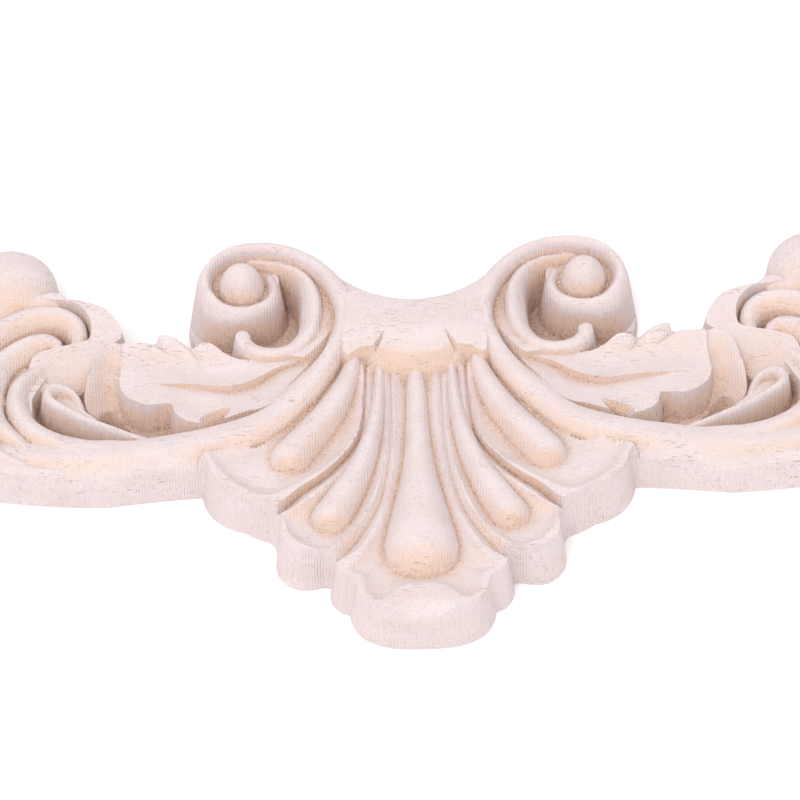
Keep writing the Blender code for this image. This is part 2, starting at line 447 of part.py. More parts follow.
TAIL_RIBS = [
    [(72.0, -6.4, 1.6, 1.6, 7.4, 6.4, 5.6), (84.0, -3.4, 2.4, 2.2, 7.2, 5.8, 4.6),
     (95.0, 2.2, 2.4, 2.4, TAIL_TOP, 5.2, 4.0), (103.0, 8.8, 2.0, 2.4, 6.3, 4.6, 3.6),
     (108.0, 15.4, 1.6, 1.6, 5.8, 4.4, 3.6)],
    [(84.0, -0.8, 1.4, 1.4, 7.2, 5.6, 5.6), (91.0, 2.6, 1.8, 1.8, 7.0, 5.0, 5.2),
     (97.6, 8.2, 2.2, 2.0, TAIL_TOP, 4.6, 5.0), (100.8, 14.6, 2.2, 2.0, 6.4, 4.4, 4.6)],
    [(80.6, 2.4, 1.4, 1.4, 7.8, 6.2, 6.0), (86.0, 5.4, 1.8, 1.8, 7.4, 5.4, 5.6),
     (90.6, 9.8, 2.2, 2.0, 7.2, 4.8, 5.2), (92.8, 14.8, 2.2, 2.0, 6.6, 4.4, 4.8)],
    [(80.0, 9.0, 1.4, 1.4, 8.0, 6.6, 6.4), (83.0, 12.4, 1.8, 1.8, 7.6, 5.4, 5.8),
     (85.0, 17.4, 2.0, 1.8, 6.8, 4.6, 5.0)]]


def collar_level(points):
    """Rolled over from back to front, with a back edge that sweeps up to the volutes."""
    x, y = points.T
    before = np.minimum(y - 15.5, 0.0)
    behind = np.maximum(y - 15.5 - 0.04 * x ** 2, 0.0)
    return COLLAR_TOP - 0.009 * x ** 2 - 0.03 * (before ** 2 + behind ** 2)


def make_layers():
    """Every form in the order it is laid: a raised form stands where it is higher than what is
    there, and a cut one where it is lower."""
    ring = lambda corners: np.array(corners, float)
    curved = lambda corners: rounded(corners, 1.0)
    return [
        ("raise", *plate(curved(SHELL_LAND), shell_level)),
        ("cut", *hollow(curved(PETAL_OUTER), shell_level, 1.4, 3.0)),
        ("cut", *hollow(curved(PETAL_MIDDLE), shell_level, 1.5, 3.0)),
        ("cut", *hollow(curved(PETAL_CENTRE), shell_level, 1.6, 3.6)),
        ("cut", *groove(PETAL_GROOVES[0])),
        ("cut", *groove(PETAL_GROOVES[1])),
        ("cut", *brow(LIP, SHELL_TOP + 0.2, 0.11)),
        ("raise", *ridge(DROP_OUTER, 2.4, 2.0)),
        ("raise", *ridge(DROP_MIDDLE, 2.4, 2.0)),
        ("raise", *ridge(DROP_CENTRE, 2.4, 2.0)),
        ("raise", *plate(curved(COLLAR), collar_level, 2.6)),
        ("raise", *plate(curved(TONGUE), collar_level, 0.9)),
        ("cut", *groove(COLLAR_NOTCH)),
        ("raise", *plate(curved(LEAF_LOWER), sheet(LEAF_LOWER_HEIGHTS))),
        ("cut", *groove(LEAF_POCKET)),
        ("raise", *plate(curved(LEAF_UPPER), sheet(LEAF_UPPER_HEIGHTS))),
        *[("cut", *groove(fold)) for fold in LEAF_FOLDS],
        ("raise", *plate(ring(ARM_LAND), ARM_TOP - 2.2)),
        ("raise", *plate(curved(SCROLL_BED), 9.6)),
        ("raise", *plate(curved(VOLUTE_DRUM), 8.8)),
        ("raise", *ridge(SCROLL)),
        ("raise", *ridge(HOOK)),
        ("cut", *groove(STEM_GROOVE)),
        ("raise", *dome(BALL_CENTRE, 3.9, 8.6, BALL_TOP)),
        ("raise", *plate(curved(LEAF_END), sheet(LEAF_END_HEIGHTS))),
        ("raise", *plate(curved(LOBE), sheet(LOBE_HEIGHTS))),
        ("raise", *dome(BUD_CENTRE, 8.4, 5.6, BUD_TOP)),
        ("raise", *ridge(VOLUTE_RING)),
        ("raise", *ridge(FOLD_INNER)),
        ("raise", *ridge(FOLD_MIDDLE)),
        ("raise", *ridge(FOLD_OUTER)),
        ("raise", *plate(curved(HORN_BED), 6.4)),
        ("raise", *ridge(HORN)),
        *[("raise", *ridge(rib)) for rib in TAIL_RIBS],
    ]


# Mesh

def wall_height(points, edge, opening):
    """Height that the walls round the outline and the opening allow."""
    outer, _, steepness = nearest_on_line(points, edge)
    inner, _, _ = nearest_on_line(points, np.vstack([opening, opening[:1]]))
    return np.minimum(outer * steepness[:, 0], inner * ARM_WALL)


def relief(points, layers):
    """Height of the carved face at the points, and how far in height the nearest crease is."""
    height = np.full(len(points), PIT_FLOOR)
    clearance = np.full(len(points), np.inf)
    for way, low, high, form, _ in layers:
        rows = np.nonzero(((points >= low) & (points <= high)).all(1))[0]
        if len(rows):
            gap = form(points[rows]) - height[rows]
            wins = gap > 0 if way == "raise" else gap < 0
            clearance[rows] = np.where(wins, abs(gap), np.minimum(clearance[rows], abs(gap)))
            height[rows[wins]] += gap[wins]
    return height, clearance


def onto_creases(points, layers, reach):
    """The points, with those that lie within reach of a crease moved onto it."""
    step = 0.02
    level = relief(points, layers)[1]
    slope = np.stack([relief(points + np.array(shift), layers)[1] - level
                      for shift in ((step, 0.0), (0.0, step))], 1) / step
    with np.errstate(invalid="ignore"):
        move = -slope * (level / np.maximum((slope ** 2).sum(1), 1e-6))[:, None]
        near = np.hypot(move[:, 0], move[:, 1]) < reach
    return np.where(near[:, None], points + np.nan_to_num(move), points)


def triangulate(loops, guides, inner):
    """Plan triangles between the outer loop and the opening, through all guide lines and points."""
    points, lines = [], []
    for ring in loops:
        first, count = len(points), len(ring)
        points.extend(ring)
        lines.extend((first + k, first + (k + 1) % count) for k in range(count))
    for guide in guides:
        first = len(points)
        points.extend(guide)
        lines.extend((first + k, first + k + 1) for k in range(len(guide) - 1))
    points.extend(inner)
    made = delaunay_2d_cdt([Vector(p) for p in points], lines, [], 0, 0.02)
    corners = np.array([tuple(v) for v in made[0]])
    faces = np.array([face for face in made[2] if len(face) == 3])
    middles = corners[faces].mean(1)
    keep = is_inside(middles, np.array(loops[0]))
    for ring in loops[1:]:
        keep &= ~is_inside(middles, np.array(ring))
    return corners, faces[keep]


def runs_of(points, kept):
    """The stretches of a line whose points are kept."""
    runs, run = [], []
    for point, keep in zip(points, kept):
        if keep:
            run.append(point)
        else:
            runs.append(run)
            run = []
    runs.append(run)
    return [run for run in runs if len(run) > 1]


def visible_guides(layers, edge, opening):
    """The stretches of the guide lines on which their own form is the one that shows."""
    kept = []
    for _, _, _, form, guides in layers:
        for guide in guides:
            shown = abs(relief(guide, layers)[0] - form(guide)) < 0.08
            shown &= guide[:, 0] > 0.4
            shown &= wall_height(guide, edge, opening) > 0.5 * ARM_WALL
            shown &= is_inside(guide, edge)
            kept.extend(runs_of(guide, shown))
    return kept


def wall_tops(ring, carving, steepness, sign):
    """Line along the top of the wall that rises from the ring, inwards by sign."""
    way = np.roll(ring, -1, axis=0) - np.roll(ring, 1, axis=0)
    across = sign * np.stack([-way[:, 1], way[:, 0]], 1) / np.hypot(way[:, 0], way[:, 1])[:, None]
    reach = np.full(len(ring), 1.0)
    for _ in range(6):
        tops = ring + across * reach[:, None]
        reach = (reach + relief(tops, carving)[0] / steepness) / 2
    return tops, reach


def low_bridges(faces, heights):
    """Edges inside the face that join two corners of the outline at the height of the back."""
    sides = np.sort(np.vstack([faces[:, [0, 1]], faces[:, [1, 2]], faces[:, [2, 0]]]), axis=1)
    sides = sides[(heights[sides] < 0.01).all(1)]
    pairs, uses = np.unique(sides, axis=0, return_counts=True)
    return [tuple(pair) for pair in pairs[uses == 2]]


def make_half():
    """Corners in millimetres and triangles of the right half, closed but for the axis plane."""
    edge = outline(OUTLINE_STEP)
    opening = rounded(PIERCING, OUTLINE_STEP)
    carving = make_layers()
    low, high = edge[:, :2].min(0) - 1, edge[:, :2].max(0) + 1
    layers = [*carving, ("cut", low, high, lambda p: wall_height(p, edge, opening), [])]

    foot, top = edge[0, 1], edge[-1, 1]
    rim, brow = foot + SHELL_TOP / SHELL_WALL, top - COLLAR_TOP / VOLUTE_WALL
    axis = np.linspace(brow, rim, math.ceil((brow - rim) / GRID))
    outer = np.vstack([edge[:, :2], np.column_stack([axis * 0, axis])])

    guides = visible_guides(carving, edge, opening)
    for ring, steepness, sign in ((edge[:, :2], edge[:, 2], 1), (opening, ARM_WALL, 1)):
        tops, reach = wall_tops(ring, carving, steepness, sign)
        clear = wall_height(tops, edge, opening)
        kept = (clear > 0.93 * reach * steepness) & (tops[:, 0] > 0.3) & is_inside(tops, outer)
        guides.extend(runs_of(tops, kept & ~is_inside(tops, opening)))

    xs = np.arange(GRID, high[0], GRID)
    ys = np.arange(low[1], high[1], GRID)
    inner = np.stack(np.meshgrid(xs, ys, indexing="ij"), -1).reshape(-1, 2)
    inner = inner[is_inside(inner, outer) & (wall_height(inner, edge, opening) > 0.5 * ARM_WALL)]
    inner = onto_creases(inner, layers, GRID * 0.6)
    inner = [tuple(p) for p in inner if p[0] > GRID / 2]
    flat = True
    while flat:
        corners, faces = triangulate([outer, opening], guides, inner)
        heights = relief(corners, layers)[0]
        flat = low_bridges(faces, heights)
        inner.extend(tuple((corners[a] + corners[b]) / 2) for a, b in flat)
    back, back_faces = triangulate([edge[:, :2], opening], [], [])
    return np.column_stack([corners, heights]), faces, back, back_faces[:, ::-1]


def make_onlay():
    face, face_triangles, back, back_triangles = make_half()
    middle_y = (face[:, 1].min() + face[:, 1].max()) / 2
    mesh = bmesh.new()
    placed = {}

    def corner(x, y, z):
        key = (round(x, 3), round(y, 3), round(z, 3))
        if key not in placed:
            placed[key] = mesh.verts.new((x * MM, (y - middle_y) * MM, z * MM))
        return placed[key]

    for a, b, c in face_triangles:
        mesh.faces.new([corner(*face[a]), corner(*face[b]), corner(*face[c])])
    for a, b, c in back_triangles:
        mesh.faces.new([corner(*back[a], 0.0), corner(*back[b], 0.0), corner(*back[c], 0.0)])
    data = bpy.data.meshes.new("carved_onlay")
    mesh.to_mesh(data)
    mesh.free()
    onlay = bpy.data.objects.new("carved_onlay", data)
    bpy.context.scene.collection.objects.link(onlay)
    data.materials.append(wood())
    mirror = onlay.modifiers.new("left half", "MIRROR")
    mirror.use_axis[0] = True
    mirror.use_mirror_merge = True
    mirror.merge_threshold = MERGE
    fewer = onlay.modifiers.new("fewer facets", "DECIMATE")
    fewer.ratio = MOST_TRIANGLES / (2 * len(data.polygons))
    fewer.use_symmetry = True
    fewer.symmetry_axis = "X"
    fewer.use_collapse_triangulate = True
    seen = onlay.evaluated_get(bpy.context.evaluated_depsgraph_get())
    whole = bpy.data.meshes.new_from_object(seen)
    onlay.modifiers.clear()
    onlay.data = whole
    whole.name = "carved_onlay"
    bpy.data.meshes.remove(data)
    for point in whole.vertices:
        if point.co.z < BACK_REACH * MM:
            point.co.z = 0.0
    whole.shade_smooth()
    whole.set_sharp_from_angle(angle=SHARP_ANGLE)
    return onlay


def wood():
    material = bpy.data.materials.new("rubberwood")
    material.use_nodes = True
    shader = material.node_tree.nodes["Principled BSDF"]
    shader.inputs["Base Color"].default_value = WOOD_COLOUR
    shader.inputs["Roughness"].default_value = WOOD_ROUGHNESS
    shader.inputs["Metallic"].default_value = 0.0
    return material


for thing in list(bpy.data.objects):
    bpy.data.objects.remove(thing)
onlay = make_onlay()
print("triangles", len(onlay.data.polygons))
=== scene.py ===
# Raw carved wooden onlay lying on a pale floor, seen from the shell's tip
import math
import bpy
import numpy as np
from mathutils import Matrix, Vector
from mathutils.geometry import delaunay_2d_cdt


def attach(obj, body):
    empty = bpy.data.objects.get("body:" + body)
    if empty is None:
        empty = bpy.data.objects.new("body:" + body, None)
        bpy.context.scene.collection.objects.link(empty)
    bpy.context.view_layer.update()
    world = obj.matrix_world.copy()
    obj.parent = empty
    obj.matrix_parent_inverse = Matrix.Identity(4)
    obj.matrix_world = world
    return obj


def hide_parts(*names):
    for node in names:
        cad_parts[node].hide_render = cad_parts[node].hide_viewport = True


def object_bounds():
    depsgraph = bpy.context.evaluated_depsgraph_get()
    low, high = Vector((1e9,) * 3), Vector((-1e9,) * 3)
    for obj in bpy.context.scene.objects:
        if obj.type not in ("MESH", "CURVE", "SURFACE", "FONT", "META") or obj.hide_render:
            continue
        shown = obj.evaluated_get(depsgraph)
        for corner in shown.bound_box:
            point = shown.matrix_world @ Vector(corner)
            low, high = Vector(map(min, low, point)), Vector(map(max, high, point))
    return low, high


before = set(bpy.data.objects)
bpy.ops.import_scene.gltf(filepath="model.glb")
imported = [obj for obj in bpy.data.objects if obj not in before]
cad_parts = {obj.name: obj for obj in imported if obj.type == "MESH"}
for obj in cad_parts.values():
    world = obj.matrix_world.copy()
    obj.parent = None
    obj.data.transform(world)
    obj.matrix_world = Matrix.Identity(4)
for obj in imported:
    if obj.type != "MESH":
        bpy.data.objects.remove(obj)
cadBox = [list(map(float, corner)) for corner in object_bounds()]
print("frame loaded")

mm = 0.001

# What to change on the onlay. Lengths and heights are millimetres.
onlayLook = {
    # Tops above the back, and the floor of the pits
    "shellTop": 9.0, "collarTop": 13.6, "ballTop": 14.5, "armTop": 8.4, "budTop": 12.2,
    "pitFloor": 2.2,
    # Rise of the walls for each millimetre inwards
    "shellWall": 7.5, "voluteWall": 6.5, "armWall": 8.0, "innerWall": 6.0,
    # Steps along the curves and in the net, which is wider far out on the arm
    "curveStep": 0.8, "ringStep": 1.0, "guideStep": 0.5, "outlineStep": 0.45,
    "grid": 0.45, "farGrid": 0.7, "farFrom": 68.0,
    # How near the net comes to the axis and the rim, and how far it moves onto a crease
    "axisGap": 0.12, "rimGap": 0.14, "topGap": 0.15, "topShare": 0.93, "snap": 0.24, "weld": 0.02,
    "guideGap": 0.4, "guideWall": 0.5, "guideFit": 0.08, "flatSpan": 0.9, "flatRounds": 3,
    "sharpAngle": 42,
    # Recesses: reach of each blur with the depth that counts as full, and what each adds
    "blurStep": 0.5, "blurTaps": 12, "blurPast": 12.0, "blurs": ((1.0, 0.9), (2.6, 2.4)),
    "closeShare": 0.6, "wideShare": 0.7, "shelterRise": 1.6, "shelterFrom": 1.4, "outwardFade": 50,
    "shadeFreeRim": 1.2, "rimFade": 1.6}


# Curves

# Smooth curve from the second row to the last but one, sampled about every step along the plan.
def spline(rows, step):
    made = []
    for a, b, c, d in zip(rows, rows[1:], rows[2:], rows[3:]):
        count = max(1, math.ceil(math.dist(b[:2], c[:2]) / step))
        for t in np.arange(count) / count:
            made.append(0.5 * (2 * b + (c - a) * t + (2 * a - 5 * b + 4 * c - d) * t ** 2
                               + (3 * b - a - 3 * c + d) * t ** 3))
    return made


# Open smooth curve through the stations.
def smoothCurve(stations, step):
    rows = np.array(stations, float)
    padded = np.vstack([2 * rows[0] - rows[1], rows, 2 * rows[-1] - rows[-2]])
    return np.array([*spline(padded, step), rows[-1]])


# Line through corners x, y, bulge. The bulge is the rise of the arc to the next corner over half
# its chord, positive when it bows to the left of the way.
def arcRun(corners, step):
    made = []
    for (x0, y0, bulge), (x1, y1, _) in zip(corners, corners[1:]):
        start = np.array([x0, y0])
        chord = np.array([x1, y1]) - start
        normal = np.array([-chord[1], chord[0]])
        count = max(1, math.ceil(np.hypot(*chord) * (1 + abs(bulge)) / step))
        for t in np.arange(count) / count:
            if bulge == 0:
                made.append(start + chord * t)
                continue
            halfTurn = 2 * math.atan(bulge)
            radius = 0.5 / math.sin(halfTurn)
            angle = halfTurn * (2 * t - 1)
            rise = radius * (math.cos(angle) - math.cos(halfTurn))
            made.append(start + chord * (0.5 + radius * math.sin(angle)) + normal * rise)
    made.append(np.array(corners[-1][:2]))
    return np.array(made)


# Closed smooth curve through the corners.
def rounded(corners, step):
    rows = np.array(corners, float)
    return np.array(spline(np.vstack([rows[-1:], rows, rows[:2]]), step))


# Distances

# For each point its distance to the line, +1 or -1 for the line's left or right side, and the
# values of the line's further columns there.
def nearestOnLine(points, line):
    best = np.full(len(points), np.inf)
    side = np.ones(len(points))
    values = np.zeros((len(points), line.shape[1] - 2))
    for start, end in zip(line, line[1:]):
        run = end[:2] - start[:2]
        offset = points - start[:2]
        share = np.clip(offset @ run / max(run @ run, 1e-12), 0, 1)
        distance = ((offset - share[:, None] * run) ** 2).sum(1)
        closer = distance < best
        best[closer] = distance[closer]
        cross = run[0] * offset[closer, 1] - run[1] * offset[closer, 0]
        side[closer] = np.where(cross >= 0, 1, -1)
        values[closer] = start[2:] + share[closer, None] * (end[2:] - start[2:])
    return np.sqrt(best), side, values


# Whether each point lies in the closed polygon ring.
def isInside(points, ring):
    inside = np.zeros(len(points), bool)
    x, y = points[:, 0], points[:, 1]
    for (x0, y0), (x1, y1) in zip(ring[:, :2], np.roll(ring[:, :2], -1, axis=0)):
        if y0 != y1:
            inside ^= ((y0 > y) != (y1 > y)) & (x < x0 + (y - y0) * (x1 - x0) / (y1 - y0))
    return inside


# Distance to the closed polygon's edge, positive inside.
def insideDistance(points, ring):
    distance = nearestOnLine(points, np.vstack([ring, ring[:1]]))[0]
    return np.where(isInside(points, ring), distance, -distance)


# Carved forms. Each returns the plan box that it can touch, its height there, and guide lines
# for the mesh.

def around(line, margin):
    return line[:, :2].min(0) - margin, line[:, :2].max(0) + margin


# Ridge along a curve. A station is x, y, width to the left and to the right, height of the crest,
# and height of the left and the right edge.
def ridge(stations, power=2.0, slope=onlayLook["innerWall"]):
    line = smoothCurve(stations, onlayLook["curveStep"])

    def height(points):
        distance, side, v = nearestOnLine(points, line)
        width = np.where(side > 0, v[:, 0], v[:, 1])
        edge = np.where(side > 0, v[:, 3], v[:, 4])
        share = np.minimum(distance / np.maximum(width, 0.05), 1)
        return v[:, 2] - (v[:, 2] - edge) * share ** power - np.maximum(distance - width, 0) * slope

    crest = smoothCurve(stations, onlayLook["guideStep"])
    way = np.gradient(crest[:, :2], axis=0)
    way /= np.hypot(way[:, 0], way[:, 1])[:, None]
    left = np.stack([-way[:, 1], way[:, 0]], 1)
    turn = np.radians([60.0, 20.0, -20.0, -60.0])[:, None]
    cap = crest[-1, :2] + (np.sin(turn) * left[-1] + np.cos(turn) * way[-1]) * crest[-1, 2]
    sides = np.vstack([crest[:, :2] + left * crest[:, 2:3], cap,
                       (crest[:, :2] - left * crest[:, 3:4])[::-1]])
    guides = [crest[:, :2], sides]
    return (*around(line, line[:, 2:4].max() + 2.5), height, guides)


# Flat or tilted plate: top is a height, or a function of the points.
def plate(ring, top, slope=onlayLook["innerWall"]):
    def height(points):
        inner = insideDistance(points, ring)
        level = top(points) if callable(top) else top
        return level + np.minimum(inner, 0) * slope

    return (*around(ring, 8.0 / slope + 0.6), height, [np.vstack([ring, ring[:1]])])


# Smooth level through heights given as x, y, z: a thin plate bent through them.
def sheet(heights):
    knots = np.array(heights, float)

    def bend(points):
        square = ((points[:, None, :2] - knots[None, :, :2]) ** 2).sum(2) + 1e-9
        plane = np.column_stack([np.ones(len(points)), points[:, :2]])
        return square * np.log(square), plane

    inner, plane = bend(knots)
    system = np.block([[inner, plane], [plane.T, np.zeros((3, 3))]])
    weights = np.linalg.solve(system, np.concatenate([knots[:, 2], np.zeros(3)]))
    return lambda points: np.hstack(bend(points)) @ weights


# Round hollow inside a closed curve: it starts at the height that level gives, and is depth lower
# from reach inwards.
def hollow(ring, level, depth, reach):
    def height(points):
        inner = insideDistance(points, ring)
        share = np.clip(inner / reach, 0, 1)
        return level(points) - depth * (1 - (1 - share) ** 2) + np.maximum(-inner, 0) * 8

    return (*around(ring, 0.5), height, [np.vstack([ring, ring[:1]])])


# Groove along a curve. A station is x, y, the height of its bottom, and how steeply it rises to
# the left and to the right.
def groove(stations):
    line = smoothCurve(stations, onlayLook["curveStep"])

    def height(points):
        distance, side, v = nearestOnLine(points, line)
        return v[:, 0] + distance * np.where(side > 0, v[:, 1], v[:, 2])

    return (*around(line, 3.0), height, [smoothCurve(stations, onlayLook["guideStep"])[:, :2]])


# Rounds the face off to the right of a curve: it falls with the square of the distance.
def brow(stations, level, fall):
    line = smoothCurve(stations, onlayLook["curveStep"])

    def height(points):
        distance, side, _ = nearestOnLine(points, line)
        return np.where(side > 0, 99.0, level - fall * distance ** 2)

    return (*around(line, 9.0), height, [smoothCurve(stations, onlayLook["guideStep"])[:, :2]])


# Round boss standing on the height foot.
def dome(centre, radius, foot, top):
    def height(points):
        share = np.hypot(points[:, 0] - centre[0], points[:, 1] - centre[1]) / radius
        lift = (top - foot) * np.sqrt(np.clip(1 - share ** 2, 0, 1))
        return foot + lift - np.maximum(share - 1, 0) * radius * onlayLook["innerWall"]

    turn = np.linspace(0, 2 * math.pi, 17)
    circle = np.stack([np.cos(turn), np.sin(turn)], 1)
    guides = [np.array(centre) + circle * radius * share for share in (0.995, 0.84, 0.5, 0.1)]
    return (*around(guides[0], 2.0), height, guides)


# Outline at the back, from the tip of the shell round the arm and back to the axis. Each run has
# its wall's steepness.
outlineRuns = [
    (onlayLook["shellWall"], [
        (0.0, -45.3, -0.03), (4.5, -45.1, -0.1), (9.2, -43.2, -0.2), (11.6, -38.2, 0.3),
        (12.6, -37.6, -0.35), (14.5, -32.3, 0.25), (15.8, -31.9, -0.1), (19.6, -32.3, -0.36),
        (23.4, -26.2, 0.1), (23.4, -23.2, 0.18), (24.6, -21.8, -0.1), (28.0, -19.9, 0.12),
        (29.2, -19.4, -0.3), (35.4, -11.6, 0.0)]),
    (onlayLook["armWall"], [
        (35.4, -11.6, 0.02), (51.0, -13.3, -0.04), (69.0, -11.4, -0.06), (88.0, -5.6, -0.08),
        (103.0, 4.0, -0.08), (110.4, 15.8, -0.5), (108.6, 17.2, -0.1), (104.4, 13.6, -0.6),
        (96.6, 13.0, -0.65), (88.4, 14.2, -0.6), (81.4, 19.4, 0.1)]),
    (onlayLook["armWall"], [
        (81.4, 19.4, 0.1), (77.6, 27.6, -0.35), (69.0, 39.2, -0.42), (59.2, 31.0, 0.14),
        (57.6, 27.0, -0.12), (48.6, 22.6, -0.16), (47.8, 17.8, 0.03), (43.9, 17.4, 0.1),
        (42.6, 19.0, -0.25), (38.2, 18.6, 0.0)]),
    (onlayLook["voluteWall"], [
        (38.2, 18.6, 0.0), (36.8, 20.6, -0.1), (38.1, 26.0, -0.2), (34.6, 34.8, -0.2),
        (27.6, 37.6, -0.14), (18.0, 36.0, -0.04), (11.6, 30.0, 0.08), (6.8, 25.0, 0.12),
        (0.0, 22.7, 0.0)])]
piercing = [
    (44.8, -1.8), (47.2, -1.6), (49.8, -0.8), (51.9, 0.8), (52.5, 3.0), (52.0, 4.8), (50.9, 5.3),
    (49.8, 4.2), (48.4, 2.4), (46.2, 0.2)]


# The outline with its wall steepness as the third column, and where it meets the axis.
def outline(step):
    rows = []
    for slope, corners in outlineRuns:
        run = arcRun(corners, step)[:-1]
        rows.append(np.column_stack([run, np.full(len(run), slope)]))
    rows.append(np.array([[0.0, outlineRuns[-1][1][-1][1], onlayLook["voluteWall"]]]))
    return np.vstack(rows)


# Shell: three petals and a small lobe, with grooves between them and a drop in each

# The shell's land rises a little from its rim towards the collar.
def shellLevel(points):
    return onlayLook["shellTop"] + np.clip((points[:, 1] + 20) * 0.02, -0.4, 0.6)


shellLand = [
    (-3.0, 14.0), (12.0, 14.0), (24.0, -6.0), (30.0, -8.0), (33.6, -9.4), (36.0, -13.0),
    (36.0, -30.0), (20.0, -36.0), (16.0, -47.0), (-3.0, -47.0)]
petalOuter = [
    (9.6, 10.0), (12.6, 10.0), (15.4, 5.6), (19.6, 0.2), (24.4, -4.0), (30.0, -6.6), (34.0, -9.4),
    (32.0, -14.0), (28.6, -17.6), (24.4, -19.4), (20.2, -17.4), (14.6, -13.0), (11.0, -8.6),
    (8.8, -2.0)]
petalMiddle = [
    (6.4, 8.4), (7.8, 7.6), (8.4, -2.0), (10.6, -11.0), (14.2, -16.4), (18.0, -20.8), (21.6, -23.6),
    (21.4, -27.0), (19.2, -30.0), (15.2, -31.2), (12.8, -29.6), (9.8, -25.8), (7.2, -19.0),
    (5.3, -11.0), (4.5, -2.0), (5.0, 7.6)]
petalCentre = [
    (3.0, 8.0), (3.6, -2.0), (4.0, -10.0), (5.0, -18.6), (6.9, -26.6), (9.6, -32.4), (11.8, -35.4),
    (9.6, -37.0), (9.0, -40.4), (6.6, -42.0), (3.6, -39.4), (0.0, -38.8), (-3.6, -39.4),
    (-4.0, -20.0), (-3.0, 8.0)]
petalGrooves = [
    [(8.3, 9.4, 8.9, 2.0, 1.0), (8.4, 4.0, 8.6, 3.0, 1.0), (8.9, -3.0, 8.2, 4.0, 0.9),
     (10.0, -7.8, 7.9, 5.0, 0.9), (12.9, -12.3, 7.6, 6.0, 0.9), (16.0, -15.6, 7.4, 6.0, 0.9),
     (19.2, -18.2, 7.2, 6.0, 0.9), (22.0, -21.2, 6.8, 5.0, 1.2), (25.4, -23.4, 6.2, 5.0, 2.0)],
    [(4.2, 8.4, 8.9, 1.0, 1.0), (4.2, 0.0, 8.6, 1.0, 1.0), (4.6, -10.0, 8.4, 1.0, 1.0),
     (6.2, -20.0, 8.0, 1.2, 0.9), (9.0, -26.6, 7.6, 1.3, 0.9), (12.0, -30.8, 7.0, 1.4, 1.0),
     (16.0, -34.4, 6.4, 2.0, 2.0)]]
lip = [(-4.0, -40.0), (0.0, -39.4), (4.0, -40.0), (6.8, -42.0), (8.6, -44.4)]
dropOuter = [
    (9.6, 11.0, 1.6, 0.9, 10.6, 9.6, 9.4), (10.8, 6.0, 2.2, 1.4, 10.5, 9.2, 8.8),
    (13.0, 0.6, 2.8, 2.0, 10.7, 8.9, 8.3), (15.8, -4.2, 3.2, 2.6, 10.9, 8.7, 7.8),
    (18.6, -8.0, 3.5, 3.2, 11.0, 8.4, 7.4), (20.6, -10.4, 3.6, 3.6, 10.9, 8.0, 7.3)]
dropMiddle = [
    (5.9, 9.0, 0.7, 0.7, 10.0, 9.2, 9.2), (6.2, 2.0, 1.0, 1.0, 10.0, 9.0, 8.8),
    (7.0, -4.5, 1.5, 1.5, 10.2, 8.7, 8.3), (8.4, -10.4, 2.0, 2.1, 10.5, 8.4, 7.9),
    (10.4, -15.8, 2.6, 2.8, 10.7, 8.1, 7.6), (12.6, -20.4, 3.1, 3.3, 10.8, 7.9, 7.4),
    (14.2, -23.4, 3.4, 3.5, 10.7, 7.7, 7.2)]
dropCentre = [
    (0.0, 9.0, 1.2, 1.2, 9.9, 9.0, 9.0), (0.0, 0.0, 1.5, 1.5, 9.9, 8.9, 8.9),
    (0.0, -8.0, 2.0, 2.0, 10.2, 8.6, 8.6), (0.0, -15.0, 3.0, 3.0, 10.8, 8.2, 8.2),
    (0.0, -22.0, 4.6, 4.6, 11.5, 7.8, 7.8), (0.0, -27.4, 5.8, 5.8, 12.0, 7.6, 7.6),
    (0.0, -30.4, 6.2, 6.2, 11.9, 7.5, 7.5)]

# Collar above the shell, and the notches at its front corners
collar = [
    (-3.0, 10.2), (4.0, 10.2), (7.6, 10.5), (9.4, 10.4), (11.8, 10.0), (11.9, 20.0), (12.6, 25.0),
    (15.4, 30.4), (14.0, 35.0), (7.6, 30.0), (-3.0, 27.0)]
tongue = [(-3.0, 8.8), (1.1, 8.8), (4.0, 9.4), (5.9, 10.6), (6.0, 12.0), (4.0, 14.0), (-3.0, 14.0)]
collarNotch = [
    (7.2, 8.2, 9.8, 1.6, 2.4), (6.8, 9.6, 10.8, 1.8, 2.4), (5.9, 11.4, 12.0, 2.0, 2.0),
    (4.9, 13.4, 13.2, 2.0, 2.0)]

